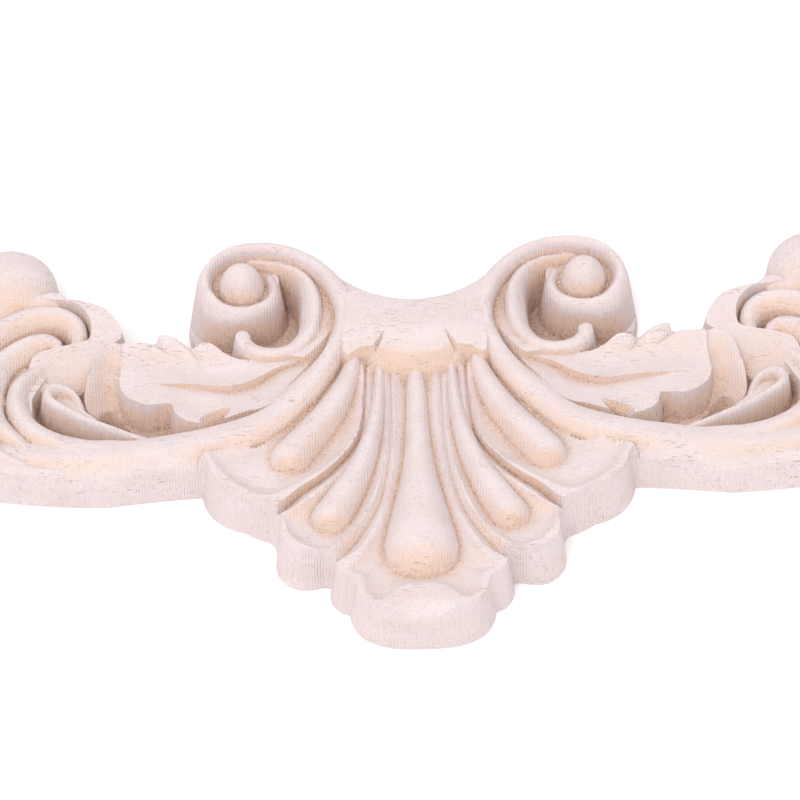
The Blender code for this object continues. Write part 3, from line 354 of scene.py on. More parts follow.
# Scroll: from inside the volute round it, down the stem and out along the arm
scroll = [
    (24.0, 30.4, 0.8, 0.8, 9.6, 9.0, 8.6), (23.3, 27.0, 0.9, 1.0, 10.0, 9.3, 8.8),
    (24.6, 23.8, 1.0, 1.2, 10.2, 9.4, 8.8), (28.3, 22.0, 1.1, 1.4, 10.4, 9.4, 8.8),
    (32.2, 23.0, 1.1, 2.0, 10.6, 9.5, 8.4), (34.6, 26.6, 1.0, 2.0, 11.0, 9.8, 8.6),
    (34.6, 30.6, 1.0, 2.0, 11.5, 10.2, 9.2), (32.0, 34.0, 1.1, 1.8, 12.0, 10.8, 10.2),
    (27.8, 35.2, 1.2, 1.3, 12.4, 11.4, 11.2), (22.8, 34.6, 1.1, 1.3, 12.6, 11.6, 11.6),
    (18.0, 32.0, 1.0, 1.3, 12.7, 11.8, 11.8), (14.6, 28.0, 1.0, 1.4, 12.8, 11.9, 12.0),
    (12.6, 23.5, 1.0, 1.6, 12.8, 11.9, 12.2), (11.9, 19.0, 1.0, 1.2, 12.7, 11.8, 11.9),
    (12.6, 13.5, 1.3, 1.4, 12.2, 11.4, 11.0), (14.6, 8.5, 1.6, 1.6, 11.7, 11.0, 10.4),
    (17.4, 4.0, 1.9, 1.9, 11.0, 10.4, 9.8), (20.8, 0.2, 2.1, 2.2, 10.4, 9.8, 9.2),
    (25.0, -3.2, 2.4, 2.8, 9.9, 9.2, 8.6), (30.0, -5.4, 2.8, 3.0, 9.4, 8.7, 7.8),
    (35.0, -6.9, 3.1, 4.0, 9.0, 8.3, 5.0), (40.0, -7.9, 3.2, 4.2, 8.8, 8.1, 4.4),
    (46.0, -8.6, 2.9, 4.0, 8.6, 8.0, 4.4), (52.0, -8.7, 3.2, 4.0, 8.4, 8.0, 4.4),
    (59.0, -8.3, 2.8, 3.8, 8.0, 7.6, 4.4), (66.0, -6.9, 2.2, 3.4, 7.4, 7.0, 4.6),
    (72.0, -5.0, 1.6, 2.0, 6.4, 6.2, 4.8)]
scrollBed = [
    (12.6, 20.0), (12.6, 26.0), (15.4, 31.6), (20.0, 34.6), (28.0, 35.4), (28.0, 33.2), (21.0, 31.4),
    (17.6, 28.0), (16.8, 20.0), (19.0, 14.4), (22.0, 12.0), (17.6, 11.0), (14.4, 14.4)]
hook = [
    (27.0, 33.4, 0.8, 0.8, 10.2, 9.4, 9.8), (22.0, 32.2, 0.9, 0.9, 10.6, 9.4, 10.0),
    (18.8, 29.9, 1.3, 0.8, 10.9, 9.0, 10.2), (16.9, 26.6, 2.0, 0.8, 11.0, 8.8, 10.3),
    (16.2, 22.8, 2.6, 0.8, 11.0, 8.6, 10.3), (16.4, 18.8, 2.6, 0.8, 10.8, 8.6, 10.1),
    (17.7, 15.4, 2.3, 1.0, 10.5, 8.8, 9.9), (20.2, 12.9, 1.8, 1.1, 10.2, 9.0, 9.7),
    (23.4, 12.3, 1.2, 1.2, 10.0, 9.3, 9.5), (26.4, 13.0, 1.1, 1.2, 9.9, 9.4, 9.4),
    (28.2, 14.8, 1.1, 1.2, 9.9, 9.4, 9.4), (28.6, 16.4, 1.2, 1.2, 9.9, 9.4, 9.4)]
ballCentre = (28.8, 27.4)
stemGroove = [
    (13.9, 16.8, 9.4, 2.0, 2.0), (15.3, 13.4, 8.4, 1.6, 2.6), (17.4, 10.2, 7.9, 1.6, 2.6),
    (19.8, 7.3, 7.7, 1.6, 2.6), (22.1, 4.8, 7.8, 1.6, 2.6), (24.0, 3.2, 8.0, 1.8, 2.6),
    (26.2, 1.6, 8.6, 2.0, 2.6)]
voluteDrum = [
    (23.4, 33.0), (22.6, 29.0), (22.7, 25.4), (24.9, 22.5), (28.5, 21.4), (32.8, 22.8), (35.6, 26.6),
    (34.0, 33.0), (28.6, 35.4)]

# Leaf between the volute and the arm, in an upper and a lower lobe
leafUpper = [
    (14.0, 16.0), (18.0, 11.6), (23.0, 9.6), (26.4, 7.4), (30.4, 5.9), (34.6, 6.4), (38.8, 7.2),
    (44.6, 7.8), (48.2, 7.4), (48.9, 9.4), (48.6, 12.9), (48.6, 15.6), (46.4, 15.7), (44.6, 15.9),
    (43.5, 15.8), (42.6, 17.0), (40.6, 16.9), (39.2, 16.4), (37.6, 15.5), (36.2, 15.2), (35.0, 15.5),
    (33.6, 15.0), (32.2, 13.8), (30.8, 12.9), (28.0, 12.0), (22.0, 13.0), (18.0, 17.0)]
leafUpperHeights = [
    (16.0, 14.0, 9.0), (23.2, 9.9, 8.5), (26.4, 7.5, 8.4), (30.4, 6.0, 8.3), (34.6, 6.5, 8.1),
    (38.8, 7.3, 7.8), (44.6, 7.9, 7.4), (48.6, 9.0, 7.6), (48.4, 13.0, 8.4), (28.0, 10.0, 7.9),
    (32.0, 9.4, 7.3), (36.0, 10.2, 7.0), (40.0, 11.0, 6.9), (44.5, 11.0, 7.2), (30.8, 12.9, 8.3),
    (33.4, 15.0, 9.0), (36.2, 14.8, 8.3), (37.4, 15.4, 8.3), (41.0, 16.8, 9.3), (43.2, 15.6, 8.6),
    (46.8, 15.4, 8.9), (48.9, 15.6, 9.0), (40.4, 14.0, 7.6), (36.8, 12.8, 7.3)]
leafFolds = [
    [(34.4, 11.0, 7.6, 1.2, 0.6), (36.2, 13.2, 7.3, 1.2, 0.6), (37.6, 16.0, 7.6, 1.2, 0.6)],
    [(38.6, 11.6, 7.4, 1.4, 0.6), (40.4, 13.8, 7.5, 1.4, 0.6), (43.4, 16.4, 8.0, 1.4, 0.6)]]
leafLower = [
    (14.6, 15.0), (18.0, 8.0), (24.5, 1.4), (28.0, 0.2), (31.6, -1.4), (34.4, -2.3), (36.0, -2.0),
    (38.2, -1.1), (39.6, 0.2), (40.0, 1.6), (40.4, 2.7), (42.6, 2.6), (44.3, 2.4), (46.4, 3.4),
    (48.1, 5.0), (48.9, 7.0), (48.9, 9.4), (46.0, 11.0), (32.0, 9.0), (22.0, 11.0)]
leafLowerHeights = [
    (18.0, 10.0, 8.4), (23.6, 7.6, 7.3), (26.4, 5.8, 7.0), (30.4, 4.9, 7.0), (34.6, 5.6, 7.0),
    (38.8, 6.4, 7.0), (44.6, 7.4, 7.3), (48.6, 8.6, 7.5), (24.5, 2.0, 8.0), (29.0, 0.8, 7.9),
    (32.0, -1.0, 8.1), (34.6, -2.0, 8.0), (38.0, -0.8, 7.8), (40.0, 1.6, 7.9), (42.6, 2.8, 7.8),
    (45.4, 3.2, 7.9), (48.1, 5.2, 7.7), (36.0, 2.2, 7.0)]
leafPocket = [(31.0, 1.2, 7.0, 1.4, 1.4), (32.6, 0.0, 5.2, 1.8, 1.8), (34.0, -1.2, 4.6, 1.8, 1.8)]
leafEnd = [
    (47.2, 16.0), (48.5, 15.7), (50.2, 16.0), (51.8, 15.0), (53.0, 13.2), (53.8, 10.6), (54.6, 7.6),
    (54.6, 4.6), (52.6, 3.6), (50.3, 3.2), (48.2, 3.6), (47.8, 6.0), (47.8, 12.0)]
leafEndHeights = [
    (48.6, 15.6, 8.6), (48.7, 12.9, 7.7), (49.0, 9.4, 6.4), (49.0, 6.4, 4.8), (48.6, 4.0, 3.0),
    (50.2, 15.8, 8.9), (51.8, 14.2, 8.9), (52.8, 11.4, 8.2), (53.6, 8.0, 6.8), (54.2, 5.2, 5.0),
    (50.4, 12.0, 6.8), (51.2, 8.6, 5.0), (51.4, 6.2, 3.4), (51.0, 4.4, 2.4)]
armLand = [
    (24.0, -2.0), (31.0, -1.7), (34.0, -3.1), (38.0, -4.3), (42.0, -5.3), (48.0, -6.0), (52.0, -5.6),
    (56.0, -4.6), (61.0, -2.3), (63.4, 1.9), (63.6, 6.0), (61.6, 10.4), (60.0, 25.0), (82.0, 30.0),
    (112.0, 24.0), (112.0, -14.0), (70.0, -14.0), (62.0, -9.4), (50.0, -9.6), (36.0, -9.0),
    (28.0, -6.0)]

# Arm: the scroll turns over in four folds round the opening, with a horn on its inner edge
ringFold = [
    (46.0, -7.3, 1.4, 1.6, 8.4, 7.9, 7.6), (53.0, -7.0, 1.5, 1.8, 8.4, 8.0, 7.2),
    (59.0, -5.3, 1.6, 1.8, 8.5, 7.9, 7.2), (63.6, -2.0, 1.7, 1.6, 8.6, 7.8, 7.2),
    (66.0, 3.2, 1.9, 1.6, 8.5, 7.0, 7.0), (65.6, 8.6, 2.0, 1.6, 8.0, 5.6, 6.6),
    (62.6, 12.4, 2.0, 1.6, 7.2, 4.6, 6.2)]
foldInner = [
    (64.0, -6.2, 1.2, 1.0, 7.6, 7.0, 6.6), (69.6, -0.2, 2.2, 1.6, 8.8, 7.4, 7.4),
    (70.8, 6.8, 2.6, 1.6, 9.0, 7.2, 7.8), (69.0, 13.2, 2.8, 1.4, 9.0, 6.8, 8.0),
    (65.2, 17.0, 3.0, 1.2, 9.0, 6.6, 8.2), (61.8, 18.2, 2.4, 1.2, 8.7, 6.8, 8.0),
    (59.8, 17.4, 1.8, 1.0, 8.0, 6.8, 7.4), (59.4, 15.8, 1.2, 0.8, 7.2, 6.4, 6.6)]
foldMiddle = [
    (64.0, -9.6, 0.8, 1.0, 7.2, 6.8, 6.6), (70.4, -6.2, 1.6, 1.6, 8.4, 7.4, 7.2),
    (74.4, 0.6, 2.2, 1.8, 9.0, 7.6, 7.6), (75.6, 8.0, 2.6, 1.8, 9.4, 7.6, 8.2),
    (73.6, 15.8, 2.8, 1.6, 9.5, 7.4, 8.4), (69.2, 20.8, 3.0, 1.4, 9.5, 7.4, 8.6),
    (63.8, 23.8, 3.0, 1.3, 9.5, 7.6, 8.6), (59.4, 23.8, 2.8, 1.2, 9.4, 7.6, 8.4),
    (56.6, 21.8, 2.2, 1.2, 8.9, 7.2, 8.0), (55.8, 19.2, 2.0, 1.0, 8.0, 6.8, 7.2),
    (56.4, 17.6, 1.2, 0.8, 7.2, 6.6, 6.6)]
foldOuter = [
    (58.0, -11.0, 0.8, 0.9, 6.6, 6.2, 5.6), (68.0, -9.2, 1.4, 1.2, 7.4, 7.0, 6.4),
    (76.0, -3.4, 2.0, 2.0, 8.2, 7.2, 6.6), (79.6, 5.0, 2.4, 2.0, 8.6, 7.4, 6.8),
    (79.0, 14.6, 2.6, 2.0, 8.9, 7.6, 7.2), (74.6, 21.6, 2.8, 1.8, 9.3, 7.8, 8.0),
    (67.4, 26.0, 2.8, 1.6, 9.6, 8.2, 8.6), (61.0, 26.8, 2.0, 1.4, 9.6, 8.6, 8.6)]
lobe = [
    (52.8, 15.4), (50.6, 16.4), (48.8, 17.6), (49.4, 20.0), (51.2, 22.8), (53.8, 25.0), (57.0, 26.4),
    (61.0, 27.2), (62.4, 26.2), (58.4, 25.6), (56.7, 24.9), (54.9, 23.0), (54.0, 20.7), (54.3, 18.2),
    (56.4, 17.4), (60.0, 16.4), (63.4, 14.6), (64.2, 11.0), (62.6, 8.6), (59.6, 8.0), (56.6, 8.4),
    (55.2, 9.0), (54.2, 12.0)]
lobeHeights = [
    (49.4, 18.0, 8.8), (51.0, 21.6, 9.5), (54.0, 24.4, 9.8), (58.0, 26.2, 9.8), (62.0, 26.8, 9.8),
    (54.0, 20.7, 9.0), (54.8, 23.0, 9.5), (54.3, 17.8, 7.8), (56.0, 14.0, 6.4), (57.0, 10.6, 5.0),
    (55.4, 9.4, 4.6), (54.4, 12.2, 6.2), (52.8, 15.6, 7.8), (50.8, 16.8, 8.2), (58.0, 16.4, 7.4),
    (61.0, 14.4, 7.2), (63.4, 13.0, 7.2), (60.4, 11.0, 5.6), (63.4, 10.0, 6.2), (59.6, 8.4, 4.8)]
hornBed = [
    (50.0, -2.0), (54.0, -0.4), (57.6, 1.8), (60.4, 4.2), (60.2, 6.6), (58.4, 6.8), (55.8, 5.2),
    (54.6, 2.6)]
horn = [
    (44.0, -5.4, 0.5, 0.5, 7.8, 7.4, 7.4), (47.4, -3.9, 0.6, 0.6, 8.0, 7.4, 7.2),
    (51.0, -2.1, 0.7, 0.6, 8.2, 7.2, 7.4), (54.6, -0.3, 0.8, 0.6, 8.3, 7.2, 7.6),
    (57.8, 1.9, 0.9, 0.7, 8.5, 7.2, 7.8), (60.2, 3.9, 0.9, 0.8, 8.6, 7.4, 7.8),
    (60.9, 5.8, 0.9, 0.8, 8.6, 7.6, 7.6), (59.8, 7.0, 0.8, 0.8, 8.5, 7.6, 7.4),
    (57.8, 6.8, 0.8, 0.7, 8.2, 7.2, 6.8), (56.2, 5.6, 0.8, 0.7, 7.6, 6.8, 6.0),
    (55.2, 3.4, 0.7, 0.7, 6.6, 6.0, 5.0)]
budCentre = (68.4, 31.2)
tailRibs = [
    [(72.0, -6.4, 1.6, 1.6, 7.4, 6.4, 5.6), (84.0, -3.4, 2.4, 2.2, 7.2, 5.8, 4.6),
     (95.0, 2.2, 2.4, 2.4, 6.8, 5.2, 4.0), (103.0, 8.8, 2.0, 2.4, 6.3, 4.6, 3.6),
     (108.0, 15.4, 1.6, 1.6, 5.8, 4.4, 3.6)],
    [(84.0, -0.8, 1.4, 1.4, 7.2, 5.6, 5.6), (91.0, 2.6, 1.8, 1.8, 7.0, 5.0, 5.2),
     (97.6, 8.2, 2.2, 2.0, 6.8, 4.6, 5.0), (100.8, 14.6, 2.2, 2.0, 6.4, 4.4, 4.6)],
    [(80.6, 2.4, 1.4, 1.4, 7.8, 6.2, 6.0), (86.0, 5.4, 1.8, 1.8, 7.4, 5.4, 5.6),
     (90.6, 9.8, 2.2, 2.0, 7.2, 4.8, 5.2), (92.8, 14.8, 2.2, 2.0, 6.6, 4.4, 4.8)],
    [(80.0, 9.0, 1.4, 1.4, 8.0, 6.6, 6.4), (83.0, 12.4, 1.8, 1.8, 7.6, 5.4, 5.8),
     (85.0, 17.4, 2.0, 1.8, 6.8, 4.6, 5.0)]]


# Rolled over from back to front, with a back edge that sweeps up to the volutes.
def collarLevel(points):
    x, y = points.T
    before = np.minimum(y - 15.5, 0.0)
    behind = np.maximum(y - 15.5 - 0.04 * x ** 2, 0.0)
    return onlayLook["collarTop"] - 0.009 * x ** 2 - 0.03 * (before ** 2 + behind ** 2)


# Every form in the order it is laid: a raised form stands where it is higher than what is there,
# and a cut one where it is lower.
def makeLayers():
    def curved(corners):
        return rounded(corners, onlayLook["ringStep"])

    return [
        ("raise", *plate(curved(shellLand), shellLevel)),
        ("cut", *hollow(curved(petalOuter), shellLevel, 1.4, 3.0)),
        ("cut", *hollow(curved(petalMiddle), shellLevel, 1.5, 3.0)),
        ("cut", *hollow(curved(petalCentre), shellLevel, 1.6, 3.6)),
        ("cut", *groove(petalGrooves[0])),
        ("cut", *groove(petalGrooves[1])),
        ("cut", *brow(lip, onlayLook["shellTop"] + 0.2, 0.11)),
        ("raise", *ridge(dropOuter, 2.4, 2.0)),
        ("raise", *ridge(dropMiddle, 2.4, 2.0)),
        ("raise", *ridge(dropCentre, 2.4, 2.0)),
        ("raise", *plate(curved(collar), collarLevel, 2.6)),
        ("raise", *plate(curved(tongue), collarLevel, 0.9)),
        ("cut", *groove(collarNotch)),
        ("raise", *plate(curved(leafLower), sheet(leafLowerHeights))),
        ("cut", *groove(leafPocket)),
        ("raise", *plate(curved(leafUpper), sheet(leafUpperHeights))),
        *[("cut", *groove(fold)) for fold in leafFolds],
        ("raise", *plate(np.array(armLand), onlayLook["armTop"] - 2.2)),
        ("raise", *plate(curved(scrollBed), 9.6)),
        ("raise", *plate(curved(voluteDrum), 8.8)),
        ("raise", *ridge(scroll)),
        ("raise", *ridge(hook)),
        ("cut", *groove(stemGroove)),
        ("raise", *dome(ballCentre, 3.9, 8.6, onlayLook["ballTop"])),
        ("raise", *plate(curved(leafEnd), sheet(leafEndHeights))),
        ("raise", *plate(curved(lobe), sheet(lobeHeights))),
        ("raise", *dome(budCentre, 8.4, 5.6, onlayLook["budTop"])),
        ("raise", *ridge(ringFold)),
        ("raise", *ridge(foldInner)),
        ("raise", *ridge(foldMiddle)),
        ("raise", *ridge(foldOuter)),
        ("raise", *plate(curved(hornBed), 6.4)),
        ("raise", *ridge(horn)),
        *[("raise", *ridge(rib)) for rib in tailRibs],
    ]


# Mesh

# Height that the walls round the outline and the opening allow.
def wallHeight(points, edge, opening):
    outer, _, steepness = nearestOnLine(points, edge)
    inner, _, _ = nearestOnLine(points, np.vstack([opening, opening[:1]]))
    return np.minimum(outer * steepness[:, 0], inner * onlayLook["armWall"])


# Height of the carved face at the points, and how far in height the nearest crease is.
def relief(points, layers):
    height = np.full(len(points), onlayLook["pitFloor"])
    clearance = np.full(len(points), np.inf)
    for way, low, high, form, _ in layers:
        rows = np.nonzero(((points >= low) & (points <= high)).all(1))[0]
        if len(rows):
            gap = form(points[rows]) - height[rows]
            wins = gap > 0 if way == "raise" else gap < 0
            clearance[rows] = np.where(wins, abs(gap), np.minimum(clearance[rows], abs(gap)))
            height[rows[wins]] += gap[wins]
    return height, clearance


# The points, with those that lie within reach of a crease moved onto it.
def ontoCreases(points, layers, reach):
    step = 0.02
    level = relief(points, layers)[1]
    slope = np.stack([relief(points + np.array(shift), layers)[1] - level
                      for shift in ((step, 0.0), (0.0, step))], 1) / step
    with np.errstate(invalid="ignore"):
        move = -slope * (level / np.maximum((slope ** 2).sum(1), 1e-6))[:, None]
        near = np.hypot(move[:, 0], move[:, 1]) < reach
    return np.where(near[:, None], points + np.nan_to_num(move), points)


# Plan triangles between the outer loop and the opening, through all guide lines and points.
def triangulate(loops, guides, inner):
    points, lines = [], []
    for ring in loops:
        first, count = len(points), len(ring)
        points.extend(ring)
        lines.extend((first + k, first + (k + 1) % count) for k in range(count))
    for guide in guides:
        first = len(points)
        points.extend(guide)
        lines.extend((first + k, first + k + 1) for k in range(len(guide) - 1))
    points.extend(inner)
    made = delaunay_2d_cdt([Vector(p) for p in points], lines, [], 0, onlayLook["weld"])
    corners = np.array([tuple(v) for v in made[0]])
    faces = np.array([face for face in made[2] if len(face) == 3])
    middles = corners[faces].mean(1)
    keep = isInside(middles, np.array(loops[0]))
    for ring in loops[1:]:
        keep &= ~isInside(middles, np.array(ring))
    return corners, faces[keep]


# The stretches of a line whose points are kept.
def runsOf(points, kept):
    runs, run = [], []
    for point, keep in zip(points, kept):
        if keep:
            run.append(point)
        else:
            runs.append(run)
            run = []
    runs.append(run)
    return [run for run in runs if len(run) > 1]


# The stretches of the guide lines on which their own form is the one that shows.
def visibleGuides(layers, edge, opening):
    look, kept = onlayLook, []
    for _, _, _, form, guides in layers:
        for guide in guides:
            shown = abs(relief(guide, layers)[0] - form(guide)) < look["guideFit"]
            shown &= guide[:, 0] > look["guideGap"]
            shown &= wallHeight(guide, edge, opening) > look["guideWall"] * look["armWall"]
            shown &= isInside(guide, edge)
            kept.extend(runsOf(guide, shown))
    return kept


# Line along the top of the wall that rises from the ring to its left.
def wallTops(ring, carving, steepness):
    way = np.roll(ring, -1, axis=0) - np.roll(ring, 1, axis=0)
    across = np.stack([-way[:, 1], way[:, 0]], 1) / np.hypot(way[:, 0], way[:, 1])[:, None]
    reach = np.full(len(ring), 1.0)
    for _ in range(6):
        tops = ring + across * reach[:, None]
        reach = (reach + relief(tops, carving)[0] / steepness) / 2
    return tops, reach


# Edges inside the face that join two corners of the outline at the height of the back.
def lowBridges(faces, heights):
    sides = np.sort(np.vstack([faces[:, [0, 1]], faces[:, [1, 2]], faces[:, [2, 0]]]), axis=1)
    sides = sides[(heights[sides] < 0.01).all(1)]
    pairs, uses = np.unique(sides, axis=0, return_counts=True)
    return pairs[uses == 2]


# Net of points for the face: rows that step aside by half a step, wider apart far out on the arm.
def innerPoints(low, high):
    look, rows = onlayLook, []
    bands = ((look["grid"], 0, look["farFrom"]), (look["farGrid"], look["farFrom"], high[0]))
    for step, left, right in bands:
        xs = np.arange(left + step / 2, right, step)
        ys = np.arange(low[1], high[1], step * 0.87)
        x, y = np.meshgrid(xs, ys, indexing="ij")
        rows.append(np.stack([x + (np.arange(len(ys)) % 2) * step / 2, y], -1).reshape(-1, 2))
    return np.vstack(rows)


# Corners of the right half's face with their recess and shelter, its triangles, and those of the
# back. Both are open at the axis.
def makeHalf():
    look = onlayLook
    edge = outline(look["outlineStep"])
    opening = rounded(piercing, look["outlineStep"])
    carving = makeLayers()
    low, high = edge[:, :2].min(0), edge[:, :2].max(0)
    walls = ("cut", low - 1, high + 1, lambda points: wallHeight(points, edge, opening), [])
    layers = [*carving, walls]
    foot, top = edge[0, 1], edge[-1, 1]
    axis = np.arange(top - 0.2, foot + 0.1, -look["grid"])
    outer = np.vstack([edge[:, :2], np.column_stack([axis * 0, axis])])
    guides = visibleGuides(carving, edge, opening)
    for ring, steepness in ((edge[:, :2], edge[:, 2]), (opening, look["armWall"])):
        tops, reach = wallTops(ring, carving, steepness)
        clear = wallHeight(tops, edge, opening) > look["topShare"] * reach * steepness
        kept = clear & (tops[:, 0] > look["topGap"]) & isInside(tops, outer)
        guides.extend(runsOf(tops, kept & ~isInside(tops, opening)))

    def onFace(points):
        shown = (points[:, 0] > look["axisGap"]) & isInside(points, outer)
        return shown & ~isInside(points, opening)

    inner = innerPoints(low - 1, high + 1)
    inner = inner[onFace(inner)]
    inner = inner[wallHeight(inner, edge, opening) > look["rimGap"] * look["armWall"]]
    inner = ontoCreases(inner, layers, look["snap"])
    inner = list(map(tuple, inner[onFace(inner)]))
    for _ in range(look["flatRounds"]):  # each round lifts faces that lie flat on the back
        corners, faces = triangulate([outer, opening], guides, inner)
        heights = relief(corners, layers)[0]
        bridges = corners[lowBridges(faces, heights)]
        inner.extend(tuple(ends.mean(0)) for ends in bridges
                     if np.ptp(ends, axis=0).max() > look["flatSpan"])
    back, backFaces = triangulate([edge[:, :2], opening], [], [])
    recess, sheltered = recesses(corners, heights, layers, low, high)
    fromRim = nearestOnLine(corners, edge)[0]
    within = np.clip((fromRim - look["shadeFreeRim"]) / look["rimFade"], 0, 1)  # outer walls get no painted shade and no groove fuzz
    recess, sheltered = recess * within, sheltered * within
    return np.column_stack([corners, heights, recess, sheltered]), faces, back, backFaces[:, ::-1]


# Both masks set where shade is painted into the wood's colour, and the recess also deepens the fuzz.
# How far each corner lies below the carving round it, and how sheltered it is, both from 0 to 1.
# The heights round a corner are a blurred grid of the relief, without the floor beside it.
def recesses(corners, heights, layers, low, high):
    look = onlayLook
    step = look["blurStep"]
    xs = np.arange(-look["blurPast"], high[0], step)  # past the axis, so the blur has carving there
    ys = np.arange(low[1], high[1], step)
    x, y = np.meshgrid(xs, ys, indexing="ij")
    level = relief(np.stack([abs(x), y], -1).reshape(-1, 2), layers)[0].reshape(x.shape)
    level = np.maximum(level, 0.0)
    wood = (level > 0.05) * 1.0
    cells = np.array([(corners[:, 0] - xs[0]) / step, (corners[:, 1] - ys[0]) / step]).T
    whole = np.clip(cells.astype(int), 0, np.array(x.shape) - 2)
    i, j = whole.T
    u, v = np.clip(cells - whole, 0, 1).T

    def atCorners(values):
        return (values[i, j] * (1 - u) * (1 - v) + values[i + 1, j] * u * (1 - v)
                + values[i, j + 1] * (1 - u) * v + values[i + 1, j + 1] * u * v)

    cellsAway = np.arange(-look["blurTaps"], look["blurTaps"] + 1)
    found, slopes = [], []
    for reach, span in look["blurs"]:
        taps = np.exp(-cellsAway ** 2 / (2 * (reach / step) ** 2))
        taps /= taps.sum()
        blurred, share = level, wood
        for axis in (0, 1):
            blurred, share = (np.apply_along_axis(np.convolve, axis, values, taps, "same")
                              for values in (blurred, share))
        blurred = blurred / np.maximum(share, 0.05)
        found.append((atCorners(blurred) - heights) / span)
        slopes.append(np.gradient(blurred))
    close, wide = np.clip(found[0], 0, 1), np.clip(found[1], 0, 1)
    recess = np.clip(close * look["closeShare"] + wide * look["wideShare"], 0, 1)
    # A flank that falls towards the outline isn't sheltered
    outward = atCorners(sum(a * b for a, b in zip(slopes[0], np.gradient(share))))
    sheltered = np.clip(found[1] * look["shelterRise"] + look["shelterFrom"], 0, 1)
    return recess, sheltered * (1 - np.clip(outward * look["outwardFade"], 0, 1))


# The half and its mirror image, joined at the axis.
def bothHalves(points, faces):
    onAxis = np.abs(points[:, 0]) < 0.001
    mirrored = np.where(onAxis, np.arange(len(points)), len(points) + np.cumsum(~onAxis) - 1)
    left = points[~onAxis] * np.array([-1.0, 1.0, 1.0, 1.0, 1.0])
    return np.vstack([points, left]), np.vstack([faces, mirrored[faces][:, ::-1]])


def makeOnlay():
    face, faceTriangles, back, backTriangles = makeHalf()
    middleY = (face[:, 1].min() + face[:, 1].max()) / 2
    place = {tuple(p[:2]): k for k, p in enumerate(np.round(face, 3)) if p[2] < 0.001}
    rename = np.array([place[tuple(p)] for p in np.round(back, 3)])
    points, faces = bothHalves(face, np.vstack([faceTriangles, rename[backTriangles]]))
    places = (points[:, :3] - [0.0, middleY, 0.0]) * mm
    places[:, 2] *= cadBox[1][2] / places[:, 2].max()  # not past the solid's box
    places = np.clip(places, *cadBox)
    data = bpy.data.meshes.new("carvedRelief")
    data.from_pydata(places.tolist(), [], faces.tolist())
    for name, column in (("recess", 3), ("sheltered", 4)):
        data.attributes.new(name, "FLOAT", "POINT").data.foreach_set("value", points[:, column])
    data.shade_smooth()
    data.set_sharp_from_angle(angle=math.radians(onlayLook["sharpAngle"]))
    onlay = bpy.data.objects.new("carved_relief", data)
    bpy.context.scene.collection.objects.link(onlay)
    print("relief made,", len(faces), "triangles")
    return onlay, middleY


onlay, middleY = makeOnlay()
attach(onlay, "root")
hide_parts("carved_onlay")


# Raw wood. Lengths are millimetres, colours are linear, and shares run from 0 to 1.
woodLook = {
    # Painted shade: the tan flank tone, and the warm tone and dark flecks in the recesses. The warm
    # tone also colours the grain threads.
    "pale": (0.715, 0.628, 0.634), "rosy": (0.675, 0.563, 0.563), "warmShadeAndGrain": (0.840, 0.610, 0.490),
    "flankShadeTone": (0.690, 0.505, 0.400), "pore": (0.360, 0.225, 0.165), "shadedFibreFleck": (0.430, 0.250, 0.190),
    "mottle": (0.580, 0.470, 0.468), "roughness": 0.68, "shine": 0.25,
    "mottleShare": 0.55, "threadShare": 0.45, "shadedFibreShare": 0.7, "poreShare": 0.75,
    "cloudSize": (14.0, 4.0, 4.0), "threadSize": (6.0, 0.22, 0.22), "patchSize": (9.0, 5.0, 5.0),
    "speckSize": 0.5, "poreLength": 2.4, "poreWidth": 0.16, "poreDepth": 0.05,
    "toolPitch": 0.46, "toolDepth": 0.085, "toolWaver": 1.4, "toolOnTop": 0.3, "toolOnWall": 0.7,
    "fuzzSize": 0.26, "fuzzDepth": 0.20, "fuzzOnTop": 0.9, "fuzzInGroove": 2.2}


# Inputs are set to a value, or linked where the value is another node's output.
def addNode(tree, kind, inputs=None, **settings):
    node = tree.nodes.new(kind)
    for name, value in settings.items():
        setattr(node, name, value)
    for name, value in (inputs or {}).items():
        if hasattr(value, "is_output"):
            tree.links.new(value, node.inputs[name])
        else:
            node.inputs[name].default_value = value
    return node


def noise(tree, place, size, detail=2.0, roughness=0.5):
    scale = [1 / (s * mm) for s in size]
    stretched = addNode(tree, "ShaderNodeMapping", {"Vector": place, "Scale": scale}).outputs[0]
    return addNode(tree, "ShaderNodeTexNoise", {"Vector": stretched, "Scale": 1.0, "Detail": detail,
                                                "Roughness": roughness}).outputs[0]


def between(tree, value, low, high, start=0.0, end=1.0):
    return addNode(tree, "ShaderNodeMapRange", {"Value": value, "From Min": low, "From Max": high,
                                                "To Min": start, "To Max": end}).outputs[0]


def maths(tree, operation, *values):
    return addNode(tree, "ShaderNodeMath", dict(enumerate(values)), operation=operation).outputs[0]


def mixed(tree, share, under, over):
    sides = {key: (*side, 1.0) if isinstance(side, tuple) else side
             for key, side in ((6, under), (7, over))}
    return addNode(tree, "ShaderNodeMix", {0: share, **sides}, data_type="RGBA").outputs[2]


